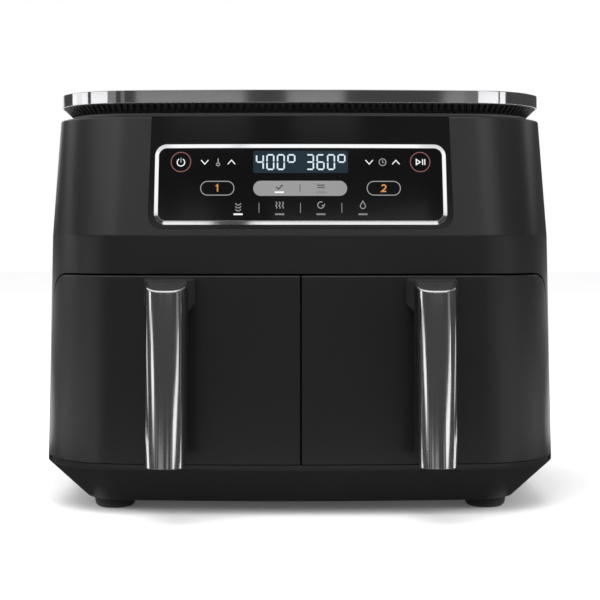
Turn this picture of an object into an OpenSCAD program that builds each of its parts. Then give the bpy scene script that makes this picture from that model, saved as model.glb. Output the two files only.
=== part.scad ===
// Two-drawer air fryer, in millimetres.
// X runs to the right, Y to the back and Z up. The origin is on the floor, under the body.

/* [Body] */
// Width of the body at the foot of the drawers
body_w = 395; // [388:1:402]
// How much narrower each side is at the crease
crease_narrowing = 2.8; // [2:0.1:4]
// How much narrower still each side is at the shoulder
shoulder_narrowing = 3.1; // [2:0.1:4]
// Distance from the origin forward to the crease
crease_lead = 111.4; // [107:0.2:115]
// Distance from the crease back to the rear wall
body_depth = 280; // [272:1:290]
// How far the foot of the drawers stands ahead of the crease
toe_lead = 11; // [8:1:14]
// How far the shoulder lies behind the crease
panel_setback = 28.5; // [24:0.5:32]
// Height of the chamfered base
base_h = 28; // [24:1:32]
// Inward run of the base chamfer
base_chamfer = 30; // [27:0.5:33]
// Height of the front from the drawers to the crease
brow_h = 28.4; // [24:0.2:32]
// Height of the sloping panel from the crease to the shoulder
panel_h = 91; // [86:1:96]
// Run of each front corner along the front
corner_x = 60; // [50:1:66]
// Run of each front corner along the side
corner_y = 72; // [62:1:80]
// Bow of the front face
front_bow = 7; // [4:0.5:9]
// Radius of the rear corners
rear_corner = 28; // [20:1:36]
// Thickness of the moulded walls
wall = 3; // [2.4:0.1:3.4]
// Width of the ledge left around the open roof
roof_ledge = 24; // [20:1:28]
// Clearance between parts that are fixed together
fit = 0.2; // [0.1:0.05:0.3]

/* [Feet] */
// Height of each foot
foot_h = 8; // [7:0.5:10]
// Diameter of each foot
foot_d = 32; // [26:1:34]
// Inset of the foot centres from the edge of the base floor
foot_inset = 23.5; // [20:0.5:26]
// Diameter of the head of a foot screw
foot_screw_head = 8; // [7:0.5:9]

/* [Drawers] */
// Height of a drawer front
drawer_h = 140.4; // [136:0.2:146]
// Shadow gap under the drawers
toe_gap = 4; // [3:0.5:5]
// Running gap above the drawers
drawer_gap = 1.2; // [0.8:0.1:2]
// Width of the seam between the two drawers
seam = 1.2; // [0.8:0.1:2]
// Distance from the origin forward to the front frame
frame_lead = 62; // [58:1:66]
// Thickness of the front frame
frame_t = 4; // [3:0.5:5]
// Gap between a closed drawer front and the frame
closing_gap = 0.8; // [0.5:0.1:1.2]
// Thickness of the plate behind a drawer front
backing_t = 2.5; // [2:0.1:3]
// Side-view radius of the upper rear corner of a drawer front
drawer_r = 20; // [16:1:24]

/* [Handles] */
// Distance from the middle of the body to each handle
handle_x = 97.7; // [94:0.1:101]
// Width of a handle grip
handle_w = 31; // [28:0.5:33]
// Depth of a handle grip
handle_d = 22; // [18:0.5:24]
// Thickness of the bright cover of a handle
cover_t = 1.6; // [1.2:0.1:2]
// Reach of the top of the grip from the drawer face to its rear edge
handle_reach = 27; // [25:0.5:30]
// How far the foot of the grip leans ahead of its top
handle_lean = 16; // [12:0.5:18]
// Drop from the top of the drawer front to the top of the handle
handle_drop = 1.6; // [1:0.1:3]
// Height of the foot of the grip above the foot of the drawer front
handle_lift = 4.1; // [3:0.1:7]
// Fall of the handle top toward the front
handle_slope = 17; // [12:1:20]
// Width of the handle neck where it meets the drawer
neck_w = 35.4; // [34:0.2:38]
// Height of the handle neck where it meets the drawer
neck_h = 21; // [18:0.5:24]
// Fall of the top of the neck from the drawer to the grip
neck_fall = 2; // [1:0.1:3]
// Extra drop of the underside of the neck at the grip
neck_sag = 6; // [3:0.5:9]
// Spacing of the two handle screws
handle_screw_pitch = 18; // [15:0.5:20]

/* [Control panel] */
// Width of the gloss fascia at its foot
fascia_w = 229; // [222:1:236]
// How much narrower the fascia is at its top
fascia_taper = 3; // [1:0.5:5]
// Drop from the fascia to the crease
fascia_rise = 5; // [4:0.5:7]
// Radius of the lower corners of the fascia
fascia_r = 11; // [8:0.5:14]
// Width of the bright bezel
bezel_w = 220; // [214:1:221]
// Height of the bright bezel
bezel_h = 61; // [56:0.5:66]
// Width of the bezel bar
bezel_bar = 3; // [2:0.1:4]
// Corner radius of the bezel
bezel_r = 9; // [7:0.5:11]
// Height of the foot of the bezel above the foot of the fascia
bezel_rise = 3; // [2.5:0.1:6]
// How far the bezel stands proud of the fascia
bezel_proud = 0.6; // [0.3:0.1:1]
// Thickness of the touch sheet
sheet_t = 1.6; // [1.2:0.1:2]
// Width of the display window
window_w = 71.4; // [66:0.2:76]
// Height of the display window
window_h = 17; // [15:0.5:19]
// Gap between the bezel bar and the top of the display window
window_drop = 2; // [1.5:0.1:4]

/* [Top] */
// Inset of the intake neck from the shoulder
neck_inset = 10; // [8:0.5:12]
// Height of the plain lip under the intake slots
lip_h = 3; // [2:0.5:4]
// Height of the intake grille with its lip
grille_h = 10; // [9:0.5:12]
// Pitch of the intake slots
slot_pitch = 5.3; // [5:0.1:7]
// Width of each intake slot
slot_w = 2.6; // [2:0.1:3]
// Height of the bright band
band_h = 10; // [8:0.5:12]
// Thickness of the bright band
band_t = 3; // [2:0.2:4]
// Inset of the top of the grille from the shoulder
top_inset = 1.6; // [1:0.1:2.4]
// Overhang of the band beyond the grille
band_proud = 0.6; // [0.4:0.1:1]
// Depth of the lid under the rim of the band
lid_sink = 1.5; // [1:0.1:2.5]

/* [Cooking zones] */
// Width left between the middle of the body and a cavity liner
liner_gap = 7; // [5.5:0.5:9]
// Air gap between a liner and the side wall
side_gap = 12.7; // [11:0.1:14]
// Air gap between a liner and the rear wall
rear_gap = 12; // [9:0.5:16]
// Height of a liner above the top of the base
liner_lift = 8; // [6:0.5:10]
// Height of a cavity liner
liner_h = 164; // [160:1:170]
// Thickness of the liner sheet
liner_t = 0.8; // [0.7:0.1:1.2]
// Height of the runners on the floor of a liner
runner_h = 4.7; // [3.5:0.1:6]
// Running gap between the basket and its runners
run_gap = 0.3; // [0.3:0.05:0.6]
// Height of a basket
basket_h = 115; // [108:1:118]
// Side clearance of a basket in its liner
basket_side = 4.5; // [3.5:0.5:6]
// Rear clearance of a basket in its liner
basket_rear = 6; // [4:0.5:9]
// Thickness of the basket sheet
basket_t = 1.2; // [1:0.1:1.6]
// Width of the mounting pad on the front wall of a basket
pad_w = 100; // [90:2:120]
// Height of the mounting pad
pad_h = 40; // [36:1:44]
// Drop of the mounting pad below the rim
pad_drop = 20; // [16:1:24]
// How much a basket tapers in on each side
basket_taper = 4; // [2:0.5:6]
// Corner radius of a basket
basket_r = 20; // [15:1:24]
// Width of the rolled basket rim
rim_w = 1.8; // [1.2:0.1:2.4]
// Height of the frame opening above the basket rim
opening_gap = 4; // [3:0.5:6]
// Height of the crisper plate above the basket floor
plate_lift = 8; // [7:0.5:12]
// Thickness of the crisper plate
plate_t = 1.2; // [1:0.1:1.6]
// Gap between the crisper plate and the basket wall
plate_gap = 4; // [3:0.5:6]
// Diameter of the holes in the crisper plate
plate_hole = 7; // [5:0.5:8]
// Pitch of the holes in the crisper plate
plate_pitch = 15; // [13:0.5:18]
// Diameter of a silicone bumper
bumper_d = 11; // [9:0.5:12]
// Diameter of the neck of a bumper in the plate
bumper_neck = 6; // [5:0.5:7]
// Height of the cap of a bumper
bumper_cap = 2; // [1.5:0.1:2.5]
// Diameter of the lifting hole in the crisper plate
finger_hole = 24; // [20:1:28]
// Width of the air outlet at the rear of a liner
outlet_w = 70; // [62:2:80]
// Drop from the liner ceiling to its air outlet
outlet_drop = 22; // [18:1:26]
// Thickness of the partition between the liners
partition_t = 1.5; // [1.2:0.1:2.5]

/* [Heater and fan] */
// Drop from the liner ceiling to the middle of the heater rings
heater_drop = 19; // [18:0.5:21]
// Diameter of the heater tube
heater_tube = 6.4; // [5.6:0.2:7]
// Radius of the largest heater ring
heater_r = 68; // [62:1:70]
// Spacing of the heater rings
heater_pitch = 12; // [10:0.5:14]
// Drop from the liner ceiling to the guard
guard_drop = 31; // [28:0.5:32]
// Width of the square guard
guard_w = 144; // [142:1:150]
// Thickness of the guard sheet
guard_t = 1; // [0.8:0.1:1.4]
// Distance of each heater terminal from the middle
terminal_y = 10; // [8:0.5:13]
// Height of the heater terminals above the liner
terminal_rise = 8; // [6:0.5:10]
// Distance of the temperature probe from the motor axis
probe_x = 50; // [46:1:54]
// Diameter of the temperature probe
probe_d = 4; // [3:0.5:5]
// Diameter of the guard holes
guard_hole = 8; // [6:0.5:9]
// Diameter of the hot air fan
fan_d = 100; // [90:1:108]
// Height of the hot air fan blades
fan_h = 8; // [6:0.5:9]
// Diameter of the cooling fan
cooler_d = 76; // [64:1:84]
// Height of the cooling fan blades
cooler_h = 7; // [5:0.5:8]
// Running gap over and under each fan
fan_gap = 3; // [2.5:0.1:3.5]
// Diameter of the motor shaft
shaft_d = 6; // [5:0.5:8]
// Radial running clearance of the shaft in the motor
shaft_clear = 0.05; // [0.03:0.01:0.1]
// Diameter of the motor
motor_d = 62; // [54:1:70]
// Height of the motor body
motor_h = 26; // [22:1:30]
// Width of the square motor bracket
bracket_w = 104; // [100:1:110]
// Thickness of the bracket sheet
bracket_t = 2; // [1.5:0.1:2.5]
// Height of the bracket over the liner
bracket_lift = 14; // [13.5:0.5:16]
// Width of the terminal block on a motor
block_w = 24; // [20:1:28]
// How far the terminal block stands out of the motor
block_out = 8; // [6:0.5:10]
// Height of a motor bearing
bearing_h = 6; // [5:0.5:8]
// Thickness of the cooling fan blades
blade_t = 1.2; // [1:0.1:1.6]

/* [Electronics] */
// Width of the board tray
tray_w = 224; // [210:2:240]
// Thickness of the board tray
tray_t = 2.5; // [2:0.1:3]
// Width of the display board
board_w = 196; // [180:2:200]
// Thickness of the circuit boards
board_t = 1.6; // [1.2:0.1:2]
// Depth of the display board behind the panel face
board_depth = 11; // [10:0.5:13]
// Height of the display board above the digits
board_rim = 1.6; // [1:0.1:2.4]
// Width of a block of two digits
digits_w = 26; // [22:1:28]
// Height of a block of digits
digits_h = 12; // [10:0.5:13]
// Depth of a block of digits
digits_t = 5; // [4:0.5:6]
// Distance of a block of digits from the middle
digits_x = 16; // [15:0.5:18]
// Width of the stays behind the display board
stay_w = 6; // [5:0.5:8]
// Thickness of the stays
stay_t = 4; // [3:0.5:5]
// Inset of the posts from the edges of the tray and of the liners
tray_post_inset = 10; // [8:0.5:12]
// Diameter of the posts under the tray
tray_post_d = 8; // [7:0.5:9]
// Drop from the top of the display board to the top of its stays
stay_drop = 8; // [6:0.5:10]
// Width of the power board
power_w = 104; // [100:2:110]
// Height of the power board over its tray
power_lift = 4; // [3:0.5:6]
// Gap between the parts on the power board
part_gap = 6; // [5:0.5:7]
// Width of a relay
relay_w = 18; // [16:1:20]
// Depth of a relay
relay_d = 14; // [12:1:16]
// Height of a relay
relay_h = 14; // [12:1:16]
// Width of the supply coil
coil_w = 20; // [18:1:22]
// Height of the supply coil
coil_h = 18; // [16:1:20]
// Diameter of the capacitor
capacitor_d = 12; // [10:1:14]
// Height of the capacitor
capacitor_h = 16; // [14:1:18]

/* [Rear] */
// Inset of the rear cover from the sides of the body
cover_side = 42; // [38:1:50]
// Inset of the rear cover from the foot and the shoulder of the housing
cover_end = 16; // [14:1:20]
// Drop from the crease to the lowest louvre
vent_drop = 50; // [46:1:54]
// Inset of the outer screws from the side of the rear cover
cover_screw_inset = 30; // [26:1:34]
// Inset of the cord gland from the side of the rear cover
gland_inset = 28; // [24:1:32]
// Height of the cord gland above the foot of the rear cover
gland_rise = 24; // [20:1:28]
// Diameter of the cord gland body
gland_d = 13; // [11:0.5:15]
// How far the cord gland stands out behind the body
gland_out = 6; // [4:0.5:8]
// Diameter of the small screws
screw_d = 3.5; // [3:0.1:4]
// Diameter of the heads of the small screws
screw_head = 6.5; // [6:0.1:7.5]
// Width of the screw tabs under the rear cover
tab_w = 16; // [14:1:20]
// Height of a screw tab
tab_h = 10; // [9:0.5:12]
// Lap of a screw tab under the cover
tab_lap = 7; // [6:0.5:8]

/* [Hidden] */
$fn = 48;

// Steps of the outline curves
bow_steps = 5;
corner_steps = 7;
rear_steps = 4;
grip_steps = 14;
// Handle length of the corner curves, as a share of the corner
corner_pull = 0.55;
// Overshoot of a cut past the face it leaves
over = 1;
// Longer than any size of the body
far = 600;

// Heights
base_top = foot_h + base_h;
drawer_z0 = base_top + toe_gap;
drawer_z1 = drawer_z0 + drawer_h;
header_z = drawer_z1 + drawer_gap;
crease_z = header_z + brow_h;
shoulder_z = crease_z + panel_h;
band_z = shoulder_z + grille_h;
top_z = band_z + band_h;

// Depths
back_y = body_depth - crease_lead;
frame_y0 = -frame_lead;
frame_y1 = frame_y0 + frame_t;
drawer_back_y = frame_y0 - closing_gap;
panel_lean = atan(panel_setback / panel_h);

// Outline of the body at a height
shape_heights = [base_top, crease_z, shoulder_z];
half_widths = [
    body_w / 2,
    body_w / 2 - crease_narrowing,
    body_w / 2 - crease_narrowing - shoulder_narrowing
];
front_leads = [crease_lead + toe_lead, crease_lead, crease_lead - panel_setback];
width_table = [for (i = [0 : 2]) [shape_heights[i], half_widths[i]]];
front_table = [for (i = [0 : 2]) [shape_heights[i], front_leads[i]]];
function half_w(z) = lookup(z, width_table);
function front_y(z) = -lookup(z, front_table);
// The plane of the control panel, carried on above and below it
function slope_y(z) = (z - crease_z) * panel_setback / panel_h - crease_lead;
function bow_at(x, z) = front_bow * pow(x / (half_w(z) - corner_x), 2);

// Cooking zones, on the right of the middle
liner_x0 = liner_gap;
liner_x1 = half_w(crease_z) - wall - side_gap;
liner_w = liner_x1 - liner_x0;
liner_mid = (liner_x0 + liner_x1) / 2;
liner_y0 = frame_y1;
liner_y1 = back_y - wall - rear_gap;
liner_z0 = base_top + liner_lift;
liner_z1 = liner_z0 + liner_h;
ceiling_z = liner_z1 - liner_t;
motor_y = (liner_y0 + liner_y1) / 2;

// Baskets, with the size of the mounting pad on their front wall
basket_z0 = liner_z0 + liner_t + runner_h + run_gap;
basket_z1 = basket_z0 + basket_h;
basket_w = liner_w - 2 * liner_t - 2 * basket_side;
basket_y0 = frame_y0 + 2;
basket_y1 = liner_y1 - liner_t - basket_rear;
basket_d = basket_y1 - basket_y0;
basket_mid_y = (basket_y0 + basket_y1) / 2;
opening_w = basket_w + 2 * rim_w + 3;
opening_z = basket_z1 + opening_gap;

// Crisper plates and their bumpers
plate_z = basket_z0 + basket_t + plate_lift;
plate_shrink = basket_taper * (basket_z1 - plate_z) / basket_h + basket_t + plate_gap;
plate_w = basket_w - 2 * plate_shrink;
plate_d = basket_d - 2 * plate_shrink;
plate_nx = floor((plate_w / 2 - plate_hole) / plate_pitch - 0.5);
plate_ny = floor((plate_d / 2 - plate_hole) / plate_pitch - 0.5);
bumper_x = plate_w / 2 - bumper_d / 2 - 2;
bumper_y = plate_d / 2 - bumper_d / 2 - 2;
bumper_spots = [for (i = [-1, 1], j = [-1, 1]) [i * bumper_x, j * bumper_y]];

// Heater, guard and probe, measured from the motor axis
heater_z = ceiling_z - heater_drop;
heater_straps = [45, 165, 285];
guard_z = ceiling_z - guard_drop;
guard_n = floor((guard_w / 2 - 14) / (guard_hole + 4));
probe_y = guard_w / 2 + 8;

// Fans, shaft and motor
hub_d = shaft_d + 10;
fan_z1 = ceiling_z - fan_gap;
fan_z0 = fan_z1 - fan_h;
cooler_z0 = liner_z1 + fan_gap;
bracket_z = liner_z1 + bracket_lift;
motor_z0 = bracket_z + bracket_t;
shaft_z0 = fan_z0 - 2;
shaft_z1 = motor_z0 + motor_h + 2 * bearing_h;

// Control panel
fascia_z = crease_z + fascia_rise;
bezel_mid = fascia_z + bezel_rise + bezel_h / 2;
window_z = bezel_mid + bezel_h / 2 - bezel_bar - window_drop - window_h / 2;

// Boards and their tray
tray_z = liner_z1 + bracket_lift;
tray_y0 = slope_y(tray_z) + (board_depth + board_t) / cos(panel_lean) + 1;
tray_y1 = motor_y - bracket_w / 2 - 6;
digits_low = (window_z - bezel_mid) / cos(panel_lean) - digits_h / 2 - 1;
board_low = (tray_z + tray_t + 2 - bezel_mid) / cos(panel_lean) + board_depth * tan(panel_lean);
board_high = digits_low + digits_h + board_rim;
power_y0 = tray_y0 + 22;
power_y1 = tray_y1 - 3;
parts_y = power_y0 + part_gap + coil_w / 2;
relay_x = part_gap + relay_w / 2 - power_w / 2;
capacitor_x = power_w / 2 - part_gap - capacitor_d / 2;
coil_x = capacitor_x - capacitor_d / 2 - part_gap - coil_w / 2;

// Rear cover, its tabs, screws, louvres and cord gland
cover_half = half_w(crease_z) - cover_side;
cover_z0 = base_top + cover_end;
cover_z1 = shoulder_z - cover_end;
cover_screw_x = cover_half - cover_screw_inset;
cover_screws = [
    for (x = [-cover_screw_x, 0, cover_screw_x], up = [0, 1])
        [x, up ? cover_z1 - tab_lap / 2 : cover_z0 + tab_lap / 2, up]
];
screw_head_t = 1.6;
vent_rows = 8;
vent_w = 90;
vent_h = 4;
vent_pitch = 9;
vent_z = crease_z - vent_drop;
gland_x = cover_half - gland_inset;
gland_z = cover_z0 + gland_rise;
gland_flange = 6;

// Base, its bosses and the posts under the liners
floor_z = foot_h + wall;
foot_x = half_w(base_top) - base_chamfer - foot_inset;
foot_y_front = front_y(base_top) + base_chamfer + front_bow + foot_inset;
foot_y_rear = back_y - base_chamfer - foot_inset;
foot_spots = [
    [-foot_x, foot_y_front], [foot_x, foot_y_front],
    [-foot_x, foot_y_rear], [foot_x, foot_y_rear]
];
boss_h = 10;
boss_d = 11;
foot_seat = 4;
foot_head_t = 2;
post_d = 10;
post_inset = 44;

// Intake slots and the lid in the band
slot_z = shoulder_z + lip_h + 0.6;
slot_h = grille_h - lip_h - 1.8;
slots_front = floor((half_w(shoulder_z) - corner_x - 4) / slot_pitch);
slot_mid_y = (front_y(shoulder_z) + front_bow + corner_y + back_y - rear_corner) / 2;
slots_side = floor((back_y - rear_corner - slot_mid_y - 6) / slot_pitch);
band_edge = top_inset - band_proud;
band_soft = 0.5;
lid_edge = band_edge + band_t + fit;
lid_t = 3;

// Drawer presence sensing
magnet_y = drawer_back_y - drawer_r - 6;

// Handles
neck_z1 = drawer_z1 - handle_drop;
grip_z1 = neck_z1 - neck_fall;
grip_z0 = drawer_z0 + handle_lift;
grip_y1 = front_y(drawer_z1) + bow_at(handle_x, drawer_z1) - handle_reach;
grip_y0 = grip_y1 - handle_lean;
core_rear = 2.6;
screw_z = neck_z1 - neck_h / 2;
screw_bite = 12;
handle_head_t = 2;

function bezier(a, b, c, d, t) =
    pow(1 - t, 3) * a + 3 * pow(1 - t, 2) * t * b + 3 * (1 - t) * t * t * c + pow(t, 3) * d;

// Right half of an outline: bowed front, free-form front corner, round rear corner
function half_outline(hw, fy, by, cut) =
    let (cx = corner_x - cut, cy = corner_y - cut, rc = max(rear_corner - cut, 2))
    let (xs = hw - cx, start = [xs, fy + front_bow], slope = 2 * front_bow / xs)
    let (end = [hw, start.y + cy])
    concat(
        [for (i = [1 : bow_steps]) [xs * i / bow_steps, fy + front_bow * pow(i / bow_steps, 2)]],
        [for (i = [1 : corner_steps]) bezier(
            start,
            start + corner_pull * cx * [1, slope],
            end - [0, corner_pull * cy],
            end,
            i / corner_steps
        )],
        [for (i = [0 : rear_steps]) let (a = 90 * i / rear_steps)
            [hw - rc + rc * cos(a), by - rc + rc * sin(a)]]
    );

function outline(hw, fy, by, cut) =
    let (half = half_outline(hw, fy, by, cut), n = len(half))
    concat([[0, fy]], half, [for (i = [n - 1 : -1 : 0]) [-half[i].x, half[i].y]]);

// The body outline at height z, cut inward and set at height h
function ring(z, cut = 0, h = undef) =
    [for (p = outline(half_w(z) - cut, front_y(z) + cut, back_y - cut, cut))
        [p.x, p.y, is_undef(h) ? z : h]];

// A solid through a stack of rings with equal numbers of points
module loft(rings) {
    n = len(rings[0]);
    top = n * (len(rings) - 1);
    polyhedron(
        points = [for (r = rings) each r],
        faces = concat(
            [[for (i = [0 : n - 1]) i]],
            [[for (i = [n - 1 : -1 : 0]) top + i]],
            [for (k = [0 : len(rings) - 2], i = [0 : n - 1]) let (a = k * n + i, b = k * n + (i + 1) % n)
                each [[a, a + n, b + n], [a, b + n, b]]]
        )
    );
}

// Points of a rectangle with round corners, centred on the origin
function round_rect(w, d, r, steps = 6) =
    [for (q = [0 : 3], i = [0 : steps])
        let (sx = q == 0 || q == 3 ? 1 : -1, sy = q < 2 ? 1 : -1, a = 90 * q + 90 * i / steps)
        [sx * (w / 2 - r) + r * cos(a), sy * (d / 2 - r) + r * sin(a)]];

module box(x0, x1, y0, y1, z0, z1) {
    translate([x0, y0, z0]) cube([x1 - x0, y1 - y0, z1 - z0]);
}

// The room ahead of y1 between two heights, with a round upper rear corner, seen from the side
module side_slab(y1, z0, z1, r) {
    rotate([90, 0, 90]) linear_extrude(2 * far, center = true) polygon(concat(
        [[-far, z0], [y1, z0]],
        [for (i = [0 : 6]) [y1 - r + r * cos(15 * i), z1 - r + r * sin(15 * i)]],
        [[-far, z1]]
    ));
}

module mirrored_left() {
    mirror([1, 0, 0]) children();
}

// The sloping skin of the control panel, from a little outside its face to a little inside
module panel_skin(outside, inside) {
    difference() {
        loft([ring(crease_z, -outside), ring(shoulder_z, -outside)]);
        loft([
            ring(crease_z, inside, crease_z - over),
            ring(crease_z, inside),
            ring(shoulder_z, inside),
            ring(shoulder_z, inside, shoulder_z + over)
        ]);
    }
}

// Extrudes a flat shape toward the front, with its own Y as height above z
module toward_front(z) {
    translate([0, 0, z]) rotate([90, 0, 0]) linear_extrude(far) children();
}

// ---- Housing ----

// Outline of the fascia above its foot, a little wider below than above, running up past the shoulder
module fascia_shape(grow = 0) {
    half = fascia_w / 2 + grow;
    r = fascia_r + grow;
    taper = fascia_taper / 2 / panel_h * far;
    corner = [for (i = [0 : 6]) let (a = 15 * i) [half - r + r * sin(a), r - grow - r * cos(a)]];
    polygon(concat(
        corner,
        [[half - taper, far], [taper - half, far]],
        [for (i = [6 : -1 : 0]) [-corner[i].x, corner[i].y]]
    ));
}

module bezel_shape(grow) {
    translate([0, bezel_rise + bezel_h / 2])
        polygon(round_rect(bezel_w + 2 * grow, bezel_h + 2 * grow, max(bezel_r + grow, 0.5)));
}

module window_shape(grow) {
    translate([0, window_z - fascia_z])
        polygon(round_rect(window_w + 2 * grow, window_h + 2 * grow, 1.5 + grow));
}

module outer_housing() color("#2b2b2d") {
    difference() {
        loft([ring(base_top), ring(crease_z), ring(shoulder_z)]);
        loft([
            ring(base_top, wall, base_top - over),
            ring(crease_z, wall),
            ring(shoulder_z - wall, wall)
        ]);
        loft([
            ring(shoulder_z, roof_ledge, shoulder_z - wall - over),
            ring(shoulder_z, roof_ledge, shoulder_z + over)
        ]);
        side_slab(frame_y0, 0, header_z, drawer_r + drawer_gap);
        intersection() {
            panel_skin(over, wall + over);
            toward_front(fascia_z) fascia_shape(fit);
        }
        box(
            -cover_half - fit, cover_half + fit,
            back_y - 2 * wall, back_y + over,
            cover_z0 - fit, cover_z1 + fit
        );
    }
    for (s = cover_screws)
        translate([s.x, back_y - wall, s.y]) difference() {
            translate([-tab_w / 2, -wall, s.z ? -tab_lap / 2 : -tab_h + tab_lap / 2])
                cube([tab_w, wall, tab_h]);
            rotate([90, 0, 0]) cylinder(h = far, d = screw_d, center = true);
        }
}

module rear_cover() color("#1d1d1f") difference() {
    box(-cover_half, cover_half, back_y - wall, back_y, cover_z0, cover_z1);
    for (s = cover_screws)
        translate([s.x, back_y, s.y]) rotate([90, 0, 0])
            cylinder(h = far, d = screw_d + fit, center = true);
    translate([gland_x, back_y, gland_z]) rotate([90, 0, 0])
        cylinder(h = far, d = gland_d + fit, center = true);
    for (side = [-1, 1], i = [0 : vent_rows - 1])
        translate([side * liner_mid - vent_w / 2, back_y - wall - over, vent_z + i * vent_pitch])
            cube([vent_w, wall + 2 * over, vent_h]);
}

module cord_gland() color("#151515") {
    translate([gland_x, back_y + gland_out, gland_z]) rotate([90, 0, 0]) {
        cylinder(h = gland_out, d1 = gland_d, d2 = gland_d + gland_flange);
        translate([0, 0, gland_out]) cylinder(h = wall + 9, d = gland_d);
        translate([0, 0, gland_out + wall]) cylinder(h = 4, d = gland_d + gland_flange);
    }
}

module housing_screws() color("silver") for (s = cover_screws)
    translate([s.x, back_y, s.y]) rotate([90, 0, 0]) {
        translate([0, 0, -screw_head_t]) cylinder(h = screw_head_t, d = screw_head);
        cylinder(h = 2 * wall + 3, d = screw_d);
    }

// ---- Base ----

module base_pan() color("#232325") {
    difference() {
        loft([ring(base_top, base_chamfer, foot_h), ring(base_top)]);
        difference() {
            loft([
                ring(base_top, base_chamfer, floor_z),
                ring(base_top, 1.3 * wall),
                ring(base_top, 1.3 * wall, base_top + over)
            ]);
            box(-far, far, -far, frame_y1, base_top - wall, base_top + 2 * over);
        }
        for (p = foot_spots) translate([p.x, p.y, 0]) cylinder(h = floor_z + over, d = screw_d);
    }
    for (p = foot_spots)
        translate([p.x, p.y, floor_z]) difference() {
            cylinder(h = boss_h, d = boss_d);
            translate([0, 0, -over]) cylinder(h = boss_h + 2 * over, d = screw_d);
        }
    for (side = [-1, 1], dx = [-1, 1], y = [liner_y0 + post_inset, liner_y1 - post_inset])
        translate([side * liner_mid + dx * (liner_w / 2 - post_inset), y, floor_z])
            cylinder(h = liner_z0 - floor_z, d = post_d);
}

module foot(i) color("#1a1a1a")
    translate([foot_spots[i].x, foot_spots[i].y, 0]) difference() {
        cylinder(h = foot_h, d1 = foot_d - 2, d2 = foot_d);
        translate([0, 0, -over]) cylinder(h = foot_h + 2 * over, d = screw_d + fit);
        translate([0, 0, -over]) cylinder(h = foot_seat + over, d = foot_screw_head + 1);
    }

module base_screws() color("silver") for (p = foot_spots)
    translate([p.x, p.y, foot_seat]) {
        translate([0, 0, -foot_head_t]) cylinder(h = foot_head_t, d = foot_screw_head);
        cylinder(h = foot_h - foot_seat + wall + boss_h - 2, d = screw_d);
    }

module front_frame() color("#1f1f21") difference() {
    intersection() {
        loft([ring(base_top, wall + fit), ring(crease_z, wall + fit)]);
        union() {
            box(-far, far, frame_y0, frame_y1, base_top, header_z + wall);
            box(-far, far, -far, frame_y1, header_z, header_z + wall);
        }
    }
    for (side = [-1, 1])
        translate([side * liner_mid, 0, 0])
            box(
                -opening_w / 2, opening_w / 2,
                frame_y0 - over, frame_y1 + over,
                liner_z0 + liner_t, opening_z
            );
}

// ---- Top ----

module intake_grille() color("#161616") difference() {
    loft([
        ring(shoulder_z, neck_inset),
        ring(shoulder_z, neck_inset, shoulder_z + lip_h),
        ring(shoulder_z, top_inset, band_z)
    ]);
    loft([
        ring(shoulder_z, neck_inset + wall, shoulder_z - over),
        ring(shoulder_z, neck_inset + wall, band_z + over)
    ]);
    for (i = [-slots_front : slots_front])
        translate([i * slot_pitch - slot_w / 2, -far, slot_z]) cube([slot_w, 2 * far, slot_h]);
    for (i = [-slots_side : slots_side])
        translate([-far, slot_mid_y + i * slot_pitch - slot_w / 2, slot_z]) cube([2 * far, slot_w, slot_h]);
}

module trim_band() color("#c8c8cc") difference() {
    loft([
        ring(shoulder_z, band_edge + band_soft, band_z),
        ring(shoulder_z, band_edge, band_z + band_soft),
        ring(shoulder_z, band_edge, top_z - band_soft),
        ring(shoulder_z, band_edge + band_soft, top_z)
    ]);
    loft([
        ring(shoulder_z, band_edge + band_t, band_z - over),
        ring(shoulder_z, band_edge + band_t, top_z + over)
    ]);
}

module top_cover() color("#202022") difference() {
    loft([
        ring(shoulder_z, lid_edge, band_z),
        ring(shoulder_z, lid_edge, top_z - lid_sink - 1),
        ring(shoulder_z, lid_edge + 4, top_z - lid_sink)
    ]);
    loft([
        ring(shoulder_z, neck_inset + wall, band_z - over),
        ring(shoulder_z, neck_inset + wall, top_z - lid_sink - lid_t)
    ]);
}

// ---- Control panel ----

module control_fascia() color("#0d0d0e") difference() {
    intersection() {
        panel_skin(0, wall);
        toward_front(fascia_z) fascia_shape();
    }
    intersection() {
        panel_skin(over, sheet_t + fit);
        toward_front(fascia_z) bezel_shape(fit);
    }
    toward_front(fascia_z) bezel_shape(-bezel_bar - 5);
}

module panel_bezel() color("#c8c8cc") intersection() {
    panel_skin(bezel_proud, sheet_t);
    toward_front(fascia_z) difference() {
        bezel_shape(0);
        bezel_shape(-bezel_bar);
    }
}

module touch_panel() color("#101012") intersection() {
    panel_skin(0, sheet_t);
    toward_front(fascia_z) difference() {
        bezel_shape(-bezel_bar - fit);
        window_shape(fit);
    }
}

module display_window() color("#2a3b45") intersection() {
    panel_skin(0, sheet_t);
    toward_front(fascia_z) window_shape(0);
}

// A frame on the panel slope at the middle of the bezel: Y points in and Z up the slope
module on_slope() {
    translate([0, front_y(bezel_mid), bezel_mid]) rotate([-panel_lean, 0, 0]) children();
}

module display_board() color("#1f5c3a") on_slope() {
    box(-board_w / 2, board_w / 2, board_depth, board_depth + board_t, board_low, board_high);
    for (side = [-1, 1])
        translate([side * digits_x - digits_w / 2, board_depth - digits_t, digits_low])
            cube([digits_w, digits_t, digits_h]);
}

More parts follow.
